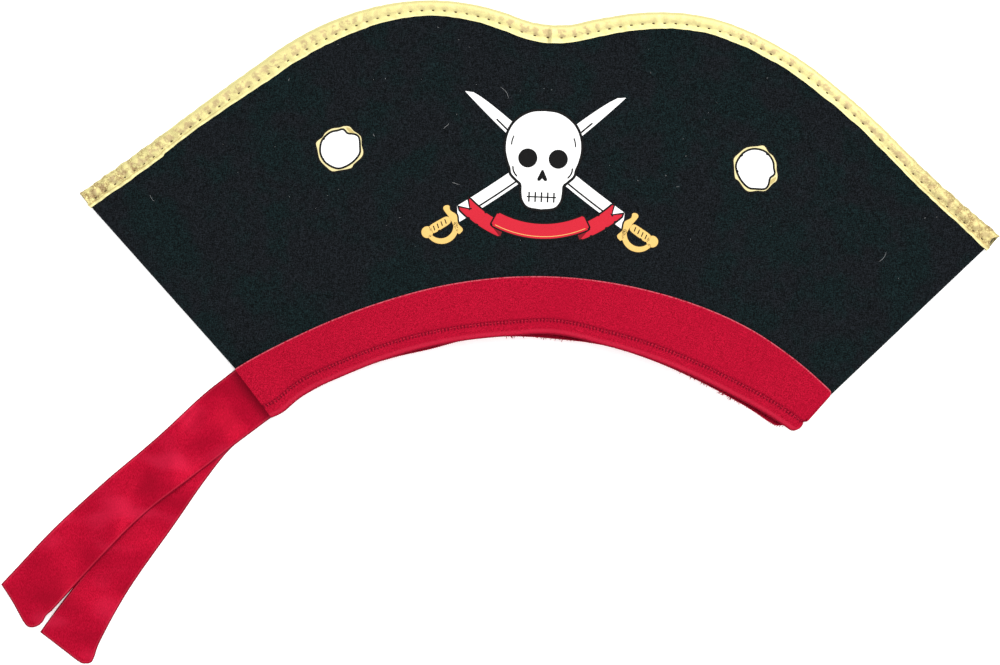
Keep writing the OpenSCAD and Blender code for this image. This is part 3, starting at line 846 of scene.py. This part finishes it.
def makeFrontBand():
    r, top = cut["mouthR"], cut["mouthR"] + cut["bandW"]
    line = evenly(throughPoints([(r + out, height) for out, height in band["section"]], 5), 0.7)
    d = np.gradient(line, axis=0)
    way = np.stack([-d[:, 1], d[:, 0]], 1) / np.linalg.norm(d, axis=1)[:, None]
    leftEnd, rightEnd = -cut["bandA"] + 1.2, cut["bandA"] - 2.4   # closer steps past these
    angles = np.concatenate([
        np.linspace(-cut["bandA"], leftEnd, 9)[:-1], np.linspace(leftEnd, rightEnd, 560),
        np.linspace(rightEnd, cut["bandA"], 17)[1:]])
    rings, laid = [], []
    for angle in angles:
        fromRight, fromLeft = fromEnds(angle)
        half = band["thick"] / 2 * max(roundedOff(min(fromLeft, fromRight), 0.35), 0.08)
        opened = standing(angle)
        foot, edge = float(valueAt(band["foot"], angle)), float(valueAt(band["edge"], angle))
        run = math.radians(angle) * r
        sides = []
        for sign in (1, -1):
            radius = line[:, 0] + sign * way[:, 0] * half
            over = line[:, 1] + sign * way[:, 1] * half
            # from the straight cut to the edges as laid, keeping the hem's width
            share = np.clip((radius - r - 9) / (cut["bandW"] - 11), 0, 1)
            radius = radius + mix(foot - r + 0.4, edge - top, share)
            # the right end's corners are rounded, and it is drawn in at the row of stitches
            row = foot + band["stitchIn"]
            lowEnd, highEnd = roundedOff(fromRight, band["corner"]), roundedOff(fromRight, 2.2)
            radius = np.where(radius < row, row - (row - radius) * lowEnd, radius)
            radius = np.where(line[:, 0] > r + 27, edge - 2.2 + (radius - edge + 2.2) * highEnd, radius)
            drawn = band["notch"] * np.exp(-((radius - row) / 0.9)**2) * smooth(1 - fromRight / 4)
            spot = onBand(radius, angle - np.degrees(drawn / r))
            under = feltTop(spot[:, 0], spot[:, 1])
            creases = 0.10 * hills(radius * 0.5 + angle * 3.7, np.full(len(line), angle * 3.7), 7, 21)
            pucker = 0.22 * math.cos(2 * math.pi * run / band["pucker"]) * np.exp(-((radius - row) / 1.1)**2)
            creases = (creases * smooth((radius - r - 2) / 8) + pucker) * (line[:, 1] > 0.3)
            squeezed = mix(0.84, 1, smooth((under - panel["top"]) / 1.5)) * (1 - 0.8 * opened)
            over = np.where(over < 0, over * squeezed, over)
            sides.append(np.column_stack([spot, under + over + creases + band["raise"] * opened]))
        rings.append(np.vstack([sides[0], sides[1][::-1]]))
        over = np.where(line[:, 1] > 0, line[:, 0] - r, -1)
        places = np.column_stack([np.full(len(line), run), over, top - line[:, 0]])
        laid.append(np.vstack([places, places[::-1]]))
    return keepPlace(sweptPiece("frontBand", rings, sewnCrepe), np.vstack(laid))


frontBand = bendWithMouth(makeFrontBand())
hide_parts("front_band", "front_band_ends", "band_end_fold")


def makeBandStitches():
    step = math.degrees(band["pitch"] / (cut["mouthR"] + band["stitchIn"]))
    lines = []
    for angle in np.arange(-cut["bandA"] + 0.7, cut["bandA"] - 0.9, step):
        spot = onBand(valueAt(band["foot"], angle) + band["stitchIn"], angle)
        a = math.radians(angle)
        height = float(feltTop(spot[0], spot[1])) + 0.36 + band["raise"] * float(standing(angle))
        way = np.array([math.cos(a), -math.sin(a), 0])
        lines.append(stitchLine(np.array([*spot, height]), way, up, 1.4, 0.16, 0.06))
    return threads("bandStitches", lines, 0.2, thread["red"])


bandStitches = bendWithMouth(makeBandStitches())
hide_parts("front_band_stitches", "front_band_end_stitches")


def backBandEdge(angle):   # the back band's lower edge wanders out below the front one here and there
    return valueAt(band["backFoot"], angle) + 0.2 + 6 * smooth((angle - 36.4) / 2.4)


def backBandOutline():
    lower = np.linspace(cut["bandA"] - 0.4, 0.4 - cut["bandA"], 120)
    upper = np.linspace(0.4 - cut["bandA"], cut["bandA"] - 0.4, 60)
    return np.vstack([onBand(backBandEdge(lower), lower), onBand(cut["mouthR"] + cut["bandW"], upper)])


def backBandTop(x, y, away):   # it curls up past the felt's edge
    radius = np.hypot(x, y - mouthCy)
    angle = np.degrees(np.arctan2(x, y - mouthCy))
    return 0.58 + 1.1 * smooth((backBandEdge(angle) + 2.2 - radius) / 1.6)


def backBandUnder(x, y, away):
    return backBandTop(x, y, away) - 0.55


backBand = flatPiece("backBand", [backBandOutline()], 2.0, backBandTop, backBandUnder, crepe, edge=0.3)
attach(backBand, "root")
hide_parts("back_band")


overlock = {
    "pitch": 1.15,        # distance between turns of the thread
    "in": 1.15,           # middle of a turn, from the raw edge
    "reach": 1.35,        # how far it goes out and in from there
    "looseEnds": 46,
}


def makeOverlock():   # a thread wound over the band's raw edge, with a few loose ends
    turns = int(math.radians(2 * cut["bandA"]) * cut["mouthR"] / overlock["pitch"])
    chance = np.random.default_rng(7)
    lines = []
    for i in range(turns):
        angle = mix(-cut["bandA"] + 0.8, cut["bandA"] - 0.8, i / turns)
        wobble = chance.normal(0, 0.12)
        t = np.linspace(0, 2 * math.pi, 11)
        edge = float(backBandEdge(angle))
        radius = edge + overlock["in"] - (overlock["reach"] + wobble) * np.cos(t)
        step = math.degrees(overlock["pitch"] / cut["mouthR"])
        spot = onBand(radius, angle + step * t / (2 * math.pi) * 1.1 + wobble * 0.1)
        top = backBandTop(spot[:, 0], spot[:, 1], 0)
        height = top - 0.27 + 0.46 * np.sin(t)
        lines.append(np.column_stack([spot, np.maximum(height, 0.19)]))
    for i in range(overlock["looseEnds"]):
        angle = chance.choice([chance.uniform(-5, 6), chance.uniform(19, 33), chance.uniform(27, 32)])
        start = onBand(float(backBandEdge(angle)) + 0.6, angle)
        hangs = chance.uniform(0.3, 1.5)
        away = onBand(float(backBandEdge(angle)) - hangs, angle + chance.uniform(-0.35, 0.35))
        t = np.linspace(0, 1, 6)[:, None]
        line = mix(start, away, t) + chance.normal(0, 0.08, (6, 2))
        lines.append(np.column_stack([line, 1.1 + 0.3 * np.sin(t[:, 0] * 3)]))
    return threads("overlockThread", lines, 0.17, thread["lock"], 5)


overlockThread = makeOverlock()
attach(overlockThread, "root")
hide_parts("back_band_overlock")
print("bands sewn round the mouth")


seam = {
    "pitch": 3.4,
    "inset": 2.9,         # in from the turned edge
}


def makeSideSeam(name, side, stoodFor):
    along = sideTop - bandTop
    length = np.linalg.norm(along)
    along = along / length
    inward = np.array([-along[1], along[0]])
    lines = []
    for d in np.arange(4, length - 6, seam["pitch"]):
        spot = bandTop + along * d + inward * seam["inset"]
        here = np.array([side * spot[0], spot[1], panel["backTop"] + 0.15])
        way = np.array([side * along[0], along[1], 0])
        lines.append(stitchLine(here, way, up, 2.6, 0.2, 0.05))
    piece = threads(name, lines, 0.16, thread["black"])
    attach(piece, "root")
    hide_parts(stoodFor)


makeSideSeam("sideSeamLeft", -1, "side_seam_left")
makeSideSeam("sideSeamRight", 1, "side_seam_right")
print("side seams sewn")


tails = {
    "thick": 0.85,        # two layers, sewn and turned
    "rootIn": 6,          # how far they run in under the band's end
    "rootZ": 4.0,         # underside of the lower one there, on the felt
    "fall": 15,           # the length it takes them to come down to the table
    "gap": 0.05,          # how far each clears what it lies on
    "wave": 2.2,          # height of the soft waves along them
    "waveLength": 41,
    "tackRows": (-2.5, -5),   # in from the band's end
    "tackPitch": 2.4,
    "lap": 0.25,          # how far the upper tail and its root pass the hinge line
    "beyond": 400,        # any distance past the tails' ends
}
# Edges of each tail as laid, from its root out
upperLeft = [(-147, -80.5), (-153, -85.5), (-165.5, -96.2), (-186, -117), (-212, -141), (-236, -165),
             (-261.6, -194.4)]
upperRight = [(-128, -104), (-133, -107.8), (-148.8, -120.7), (-168.5, -137.2), (-191.7, -156.7),
              (-212.9, -179.8), (-235.5, -206.5)]
upperEnd = [(-235.5, -206.5), (-238.2, -209), (-240.2, -212.6), (-243.6, -215), (-247.2, -215.2),
            (-249.6, -213), (-251.5, -210), (-256, -202.5), (-261.6, -194.4)]
lowerLeft = [(-143, -82), (-150, -93), (-178, -130), (-205, -166), (-228, -198), (-241.3, -217.5)]
lowerRight = [(-127.5, -102), (-134, -108.5), (-149, -121), (-161, -136.9), (-176.7, -161.6),
              (-197.5, -194), (-210.4, -219.5), (-213.6, -228.8)]
lowerEnd = [(-213.6, -228.8), (-214.8, -231.4), (-217.4, -232.3), (-221, -231.6), (-229.2, -226),
            (-241.3, -217.5)]


def tailOutline(left, right, end):
    return np.vstack([throughPoints(right, 10), throughPoints(end, 5)[1:-1], throughPoints(left, 10)[::-1]])


endMiddle = onBand(cut["mouthR"] + cut["bandW"] / 2, -cut["bandA"])
outOfEnd = -np.array([math.cos(math.radians(cut["bandA"])), math.sin(math.radians(cut["bandA"]))])
hinge = np.array(frame["joints"][1]["pos_m"]) / mm
hingeOut = float((hinge[:2] - endMiddle) @ outOfEnd)
lowerLoop = tailOutline(lowerLeft, lowerRight, lowerEnd)
upperLoop = tailOutline(upperLeft, upperRight, upperEnd)


def outFromBand(x, y):
    return (x - endMiddle[0]) * outOfEnd[0] + (y - endMiddle[1]) * outOfEnd[1]


def trimmed(loop, start, end):   # the part of an outline between two distances out from the band's end
    def clipped(points, keep):
        made = []
        for a, b in zip(points, np.roll(points, -1, axis=0)):
            ka, kb = keep(a), keep(b)
            if ka >= 0:
                made.append(a)
            if (ka > 0) != (kb > 0) and abs(ka - kb) > 1e-9:
                made.append(mix(a, b, ka / (ka - kb)))
        return np.array(made)
    loop = clipped(loop, lambda p: outFromBand(*p) - start)
    return clipped(loop, lambda p: end - outFromBand(*p))


def seamRidge(away):   # the seam allowance inside lifts the cloth along the edges
    return 0.2 * np.exp(-((away - 0.95) / 0.5)**2)


def softWaves(x, y, slant, start):   # waves across a tail, at a slant
    along = (x + y) * -0.7 + slant * (x - y) * 0.7
    return tails["wave"] * (0.5 + 0.5 * np.sin(2 * math.pi * along / tails["waveLength"] + start))


def lowerUnder(x, y, away):
    d = outFromBand(x, y)
    fall = (tails["rootZ"] - tails["gap"]) * (1 - smooth((d + 2.5) / tails["fall"]))
    laid = smooth((d - 10) / 20)
    return tails["gap"] + fall + laid * softWaves(x, y, 0.6, 0.6) * 0.8


def lowerTop(x, y, away):
    return lowerUnder(x, y, away) + tails["thick"] + seamRidge(away)


def upperUnder(x, y, away):
    d = outFromBand(x, y)
    spots = np.stack([x, y], 1)
    fromLower = fromEdge(spots, [lowerLoop]) * np.where(inside(spots, [lowerLoop]), 1, -1)
    below = smooth((fromLower + 9) / 10)
    table = smooth((d - 8) / 10)
    under = mix(1, below, table) * (lowerTop(x, y, 10 + 0 * away) + 0.12)
    return tails["gap"] + under + smooth((d - 12) / 20) * softWaves(x, y, -0.75, 2.4)


def upperTop(x, y, away):
    pastHinge = smooth((outFromBand(x, y) - hingeOut) / 4)
    return upperUnder(x, y, away) + tails["thick"] + seamRidge(away) * pastHinge


lowerCut = trimmed(lowerLoop, -tails["rootIn"], tails["beyond"])
rootCut = trimmed(upperLoop, -tails["rootIn"], hingeOut + tails["lap"])
upperCut = trimmed(upperLoop, hingeOut - tails["lap"], tails["beyond"])
lowerTail = flatPiece("lowerTail", [lowerCut], 2.0, lowerTop, lowerUnder, satin, edge=0.6)
upperRoot = flatPiece("upperTailRoot", [rootCut], 1.6, upperTop, upperUnder, satin, edge=0.6)
upperTail = flatPiece("upperTail", [upperCut], 2.0, upperTop, upperUnder, satin, edge=0.6)


def hingePoint(out, height=0):
    spot = endMiddle + outOfEnd * out
    return spot[0] * mm, spot[1] * mm, height


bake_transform(lowerTail, "root", "lower_tail", start=hingePoint(0.5), end=hingePoint(11))
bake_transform(upperRoot, "root", "lower_tail", start=hingePoint(0.5), end=hingePoint(hingeOut - tails["lap"]))
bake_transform(upperTail, "lower_tail", "upper_tail", start=hingePoint(hingeOut), end=hingePoint(hingeOut + 9))
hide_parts("tail_under")
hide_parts("tail_roots")
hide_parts("tail_over")
for piece, loop in ((lowerTail, lowerLoop), (upperRoot, upperLoop), (upperTail, upperLoop)):
    spots = np.array([v.co[:2] for v in piece.data.vertices]) / mm
    fromRim = fromEdge(spots, [loop])
    keepPlace(piece, np.column_stack([fromRim, outFromBand(spots[:, 0], spots[:, 1]), 0 * fromRim]))


def makeTackStitches():
    alongEnd = np.array([-outOfEnd[1], outOfEnd[0]])
    lines = []
    for d in tails["tackRows"]:
        for s in np.arange(-12, 12.1, tails["tackPitch"]):
            spot = endMiddle + alongEnd * s + outOfEnd * d
            height = tails["rootZ"] + 2 * tails["thick"] + 0.3
            lines.append(stitchLine(np.array([*spot, height]), np.array([*alongEnd, 0]), up, 1.7, 0.2))
    return threads("tackStitches", lines, 0.16, thread["red"])


tackStitches = makeTackStitches()
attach(tackStitches, "root")
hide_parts("tail_tack_stitches")
print("tails cut and laid")


emblem = {
    "middle": 27.6,       # height of its middle above the tips
    "ink": 0.03,          # thickness of one pass of ink
    "step": 1.2,          # distance between points in a print
}


def grown(loop, by):   # an outline moved out by a distance
    loop = np.asarray(loop, float)
    area = (loop[:, 0] * np.roll(loop[:, 1], -1) - np.roll(loop[:, 0], -1) * loop[:, 1]).sum()
    return loop + outward(loop) * by * (1 if area > 0 else -1)


def inkPiece(name, shapes, layer, colour, middle):
    # Shapes printed in one colour, each a list of loops, joined in one piece
    lift = emblem["ink"] * (layer + 0.6)
    made = []
    for i, loops in enumerate(shapes):
        loops = [np.asarray(loop, float) + middle for loop in loops]
        made.append(flatPiece(
            f"{name}{i}", loops, emblem["step"],
            lambda x, y, away: feltTop(x, y) + lift + emblem["ink"],
            lambda x, y, away: feltTop(x, y) + lift - emblem["ink"] * (layer + 0.3),
            ink[colour], edge=0.1, rings=(0.12,)))
    piece = made[0]
    if len(made) > 1:
        chosen = {"active_object": piece, "selected_editable_objects": made, "selected_objects": made}
        with bpy.context.temp_override(**chosen):
            bpy.ops.object.join()
    piece.name = name
    bendWithMouth(piece)
    return piece


def bothSides(shapes):   # each shape and its mirror image
    return shapes + [[np.asarray(loop)[::-1] * (-1, 1) for loop in loops] for loops in shapes]


def turned(points, angle, at):
    a = math.radians(angle)
    turn = np.array([[math.cos(a), math.sin(a)], [-math.sin(a), math.cos(a)]])
    return np.asarray(points, float) @ turn + at


# A cutlass lies along X from its guard, and is turned into place
cutlass = {"length": 104, "rise": 11, "width": 7.4}
bladeAt = {"angle": 33, "at": (-43, -29)}


def alongBlade(t, up):   # a line that follows the blade's curve, from guard to tip
    return np.stack([cutlass["length"] * t, cutlass["rise"] * t**2 + up], 1)


t = np.linspace(0, 1, 28)
bladeBack = alongBlade(t, -cutlass["width"] / 2)
bladeEdge = alongBlade(t, -cutlass["width"] / 2 + cutlass["width"] * np.sqrt(1 - t**4))
blade = turned(np.vstack([bladeBack, bladeEdge[-2:0:-1]]), **bladeAt)
t = np.linspace(0.04, 0.8, 14)
fuller = turned(np.vstack([alongBlade(t, -1.6), alongBlade(t, -2.5)[::-1]]), **bladeAt)
gripOutline = [(-3, -1.7), (-3, 1.7), (-8, 2.3), (-13.5, 1.9), (-13.5, -1.9), (-8, -2.3)]
grip = turned(throughPoints(gripOutline, 4, closed=True), **bladeAt)
wraps = [turned([(x - 0.4, -2.0), (x + 0.3, -2.0), (x + 1.1, 2.0), (x + 0.4, 2.0)], **bladeAt)
         for x in (-12, -9.8, -7.6, -5.4)]
pommel = turned(arc(-15.6, 0, 3, 0, 345, 24), **bladeAt)
guardOutline = [(-2.9, -8.0), (-1.2, -8.8), (0.5, -7.6), (-0.1, -4), (1.4, 0), (-0.1, 3.5), (0.6, 5.8),
                (-1.2, 7.0), (-2.9, 5.8), (-2.5, 0)]
guard = turned(throughPoints(guardOutline, 5, closed=True), **bladeAt)
bow = turned(np.vstack([arc(-8.2, -1.5, 8.4, 180, 352, 30), arc(-8.2, -0.6, 6.3, 346, 188, 30)]), **bladeAt)
halfSkull = [(0, 25.4), (6, 24.8), (11.2, 22.4), (15.6, 18.2), (18.2, 12.4), (18.8, 6), (17.6, 0.2),
             (16.2, -3.4), (15.4, -6.6), (12.6, -9.4), (10.4, -11.6), (10.1, -15.6), (9.3, -19.6),
             (6.4, -22.8), (0, -23.8)]
halfLine = throughPoints(halfSkull, 6)
skull = np.vstack([halfLine[::-1], (halfLine * (-1, 1))[1:-1]])
socket = arc(7.6, 1.6, 4.9, 0, 348, 30)
noseOutline = [(0, -3.6), (1.6, -6.4), (2.7, -9.3), (1.0, -9.6), (0, -8.5), (-1.0, -9.6), (-2.7, -9.3),
               (-1.6, -6.4)]
nose = throughPoints(noseOutline, 3, closed=True)
teeth = [[[(x - 0.5, -21.2), (x + 0.5, -21.2), (x + 0.5, -14.2), (x - 0.5, -14.2)]]
         for x in (-6.2, -3.1, 0, 3.1, 6.2)]
teeth.append([[(-8.4, -17.2), (8.4, -17.2), (8.4, -18.1), (-8.4, -18.1)]])
cheek = np.vstack([arc(9.2, -3.2, 6.1, 300, 372, 14), arc(9.2, -3.2, 5.1, 366, 306, 14)])
temple = np.vstack([arc(6, 8, 10.4, -8, 34, 12), arc(6, 8, 9.5, 28, -2, 12)])
# A ribbon below, its two ends folded back and notched
ribbon = np.vstack([arc(0, 16, 54.5, 243, 297, 40), arc(0, 16, 47, 297, 243, 40)])
ribbonEnd = np.vstack([arc(0, 16, 58, 290, 316, 16), [(35.2, -25.2)], arc(0, 16, 50.5, 316, 290, 16)])
ribbonFold = np.vstack([arc(0, 16, 54.5, 290, 297, 5), [arc(0, 16, 58, 290, 291, 2)[0]]])
ribbonLine = np.vstack([arc(0, 16, 53.6, 244, 296, 40), arc(0, 16, 53.1, 296, 244, 40)])

middle = np.array([0, emblem["middle"]])
skullParts = [[socket], [cheek], [temple]]
hiltLines = [[grown(guard, 0.8)], [grown(bow, 0.7)], [grown(pommel, 0.7)], [grown(grip, 0.7)]]
prints = [
    # name, shapes, ink, slot, the node that it stands for; later rows lie over earlier ones
    ("emblemBlades", bothSides([[blade]]), "white", "white_ink", "emblem_blades"),
    ("emblemFullers", bothSides([[fuller]]), "black", "black_ink", None),
    ("emblemHiltLines", bothSides(hiltLines), "black", "black_ink", None),
    ("emblemHilts", bothSides([[grip], [pommel], [guard], [bow]]), "gold", "gold_ink", "emblem_hilts"),
    ("emblemGripWraps", bothSides([[w] for w in wraps]), "black", "black_ink", None),
    ("emblemRibbonEndLines", bothSides([[grown(ribbonEnd, 0.8)]]), "black", "black_ink", None),
    ("emblemRibbonEnds", bothSides([[ribbonEnd]]), "red", "red_ink", None),
    ("emblemRibbonFolds", bothSides([[ribbonFold]]), "dark", "red_ink", None),
    ("emblemRibbonLine", [[grown(ribbon, 0.8)]], "black", "black_ink", None),
    ("emblemRibbon", [[ribbon]], "red", "red_ink", "emblem_sash"),
    ("emblemRibbonTrim", [[ribbonLine]], "gold", "gold_ink", None),
    ("emblemSkullLine", [[grown(skull, 1.2)]], "black", "black_ink", None),
    ("emblemSkull", [[skull]], "white", "white_ink", "emblem_skull"),
    ("emblemFace", bothSides(skullParts) + [[nose]] + teeth, "black", "black_ink", "emblem_face"),
]
for layer, (name, shapes, colour, slot, stoodFor) in enumerate(prints):
    piece = inkPiece(name, shapes, layer, colour, middle)
    if stoodFor:
        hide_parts(stoodFor)
print("emblem printed")


hole = {
    "line": 0.95,         # width of the black lines
    # outer edge of the torn rim, and the white inside it, about the middle of the hole
    "rim": [(1.6, 12), (4.4, 11.9), (6.4, 10), (10.2, 7.2), (10.8, 3), (11.8, -0.7), (10.8, -3.4),
            (7.3, -6.8), (6, -8.8), (0, -10.2), (-3.4, -10.7), (-6.4, -8.6), (-9.7, -5.3), (-11.2, 0),
            (-11.9, 3.3), (-8.9, 6), (-7.6, 8.3), (-4.4, 10.5), (-0.6, 11.2)],
    "white": [(1.2, 10), (3.4, 8.1), (6.9, 7.8), (9, 6.4), (9.6, 2), (9.5, -1.5), (6.3, -5.6), (1.9, -8.3),
              (-1.6, -8.7), (-6.2, -6.5), (-8.7, -3.2), (-9.4, 0.4), (-8.5, 4.6), (-5, 8.2), (-1.3, 9.3)],
    "shade": [(2.6, 11.3), (4.6, 11.2), (6.4, 9.6), (7.2, 8.5), (4.9, 8.7)],
    "places": [("left", -101.5, 29.3, 0), ("right", 105.5, 28.8, -96)],   # side, x, y, turn
}


def makeHole(side, x, y, turn):
    at = np.array([x, y])
    rim, white, shade = (
        turned(throughPoints(hole[part], 3, closed=True), turn, (0, 0)) for part in ("rim", "white", "shade"))
    layers = [
        ("Line", grown(rim, 0.9 * hole["line"]), "black", "black_ink"), ("Ring", rim, "cream", "gold_ink"),
        ("Shade", shade, "tan", "gold_ink"), ("InnerLine", grown(white, hole["line"]), "black", "black_ink"),
        ("Middle", white, "white", "white_ink")]
    for layer, (name, shape, colour, slot) in enumerate(layers):
        inkPiece(f"{side}Hole{name}", [[shape]], layer, colour, at)
    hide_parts(f"{side}_hole_ring")
    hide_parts(f"{side}_hole_middle")


for place in hole["places"]:
    makeHole(*place)
print("hole prints made")


fluff = {
    "count": 48,
    "lengths": [0.4, 0.9, 2, 4.5],
    "shares": [0.5, 0.35, 0.1, 0.05],
    "hairs": [(172, -13, 6, -35), (-20, 62, 7, 40)],   # the longest: place, length, way it points
}


def makeLint():
    chance = np.random.default_rng(23)
    lines = []
    while len(lines) < fluff["count"]:
        x, y = chance.uniform(-205, 205), chance.uniform(-25, 95)
        onFelt = inside(np.array([[x, y]]), [feltOutline(12)])[0] and np.hypot(x, y - mouthCy) > 240
        if not onFelt:
            continue
        long = chance.choice(fluff["lengths"], p=fluff["shares"])
        a = chance.uniform(0, 2 * math.pi) + np.cumsum(chance.normal(0, 0.25, 7))
        spot = np.array([x, y]) + np.cumsum(np.stack([np.cos(a), np.sin(a)], 1), axis=0) * long / 7
        arch = 0.08 + 0.12 * np.sin(np.linspace(0, math.pi, 7))
        lines.append(np.column_stack([spot, feltTop(spot[:, 0], spot[:, 1]) + arch]))
    for x, y, long, way in fluff["hairs"]:
        curl = arc(0, 0, long, way - 30, way + 30, 9) - arc(0, 0, long, way, way, 1) + (x, y)
        lines.append(np.column_stack([curl, feltTop(curl[:, 0], curl[:, 1]) + 0.12]))
    return threads("lintFibres", lines, 0.055, lint, 4)


bendWithMouth(makeLint())
print("stray fibres laid")


studio = {
    "floor": 0.92,        # how white it is
    "floorHalf": 6,       # metres
    "floorZ": -0.0002,    # just below the hat
    "glow": 0.35,         # a lit table, so that hardly a shadow shows on it
    "world": 1.2,
    "key": 27.0,          # watts
    "keyAt": (0.6, 0.9, 2.0),
    "keySize": 1.1,
}
floorMesh = bpy.data.meshes.new("floor")
corners = [(x * studio["floorHalf"], y * studio["floorHalf"], studio["floorZ"])
           for x, y in ((-1, -1), (1, -1), (1, 1), (-1, 1))]
floorMesh.from_pydata(corners, [], [(0, 1, 2, 3)])
floor = bpy.data.objects.new("floor", floorMesh)
bpy.context.scene.collection.objects.link(floor)
paper = Finish("paper", (studio["floor"],) * 3, 0.9, gloss=0.1)
paper.set("Emission Color", (1, 1, 1, 1))
paper.set("Emission Strength", studio["glow"])
floorMesh.materials.append(paper.finished())

world = bpy.data.worlds.new("studio")
bpy.context.scene.world = world
world.use_nodes = True
world.node_tree.nodes["Background"].inputs["Color"].default_value = (1, 1, 1, 1)
world.node_tree.nodes["Background"].inputs["Strength"].default_value = studio["world"]
key = bpy.data.objects.new("key", bpy.data.lights.new("key", "AREA"))
key.data.energy = studio["key"]
key.data.size = studio["keySize"]
key.location = studio["keyAt"]
aim = bpy.data.objects.new("aim", None)
for thing in (key, aim):
    bpy.context.scene.collection.objects.link(thing)
pointed = key.constraints.new("TRACK_TO")
pointed.target = aim
pointed.track_axis, pointed.up_axis = "TRACK_NEGATIVE_Z", "UP_Y"
bpy.context.scene.view_settings.view_transform = "Standard"
print("table and light set")
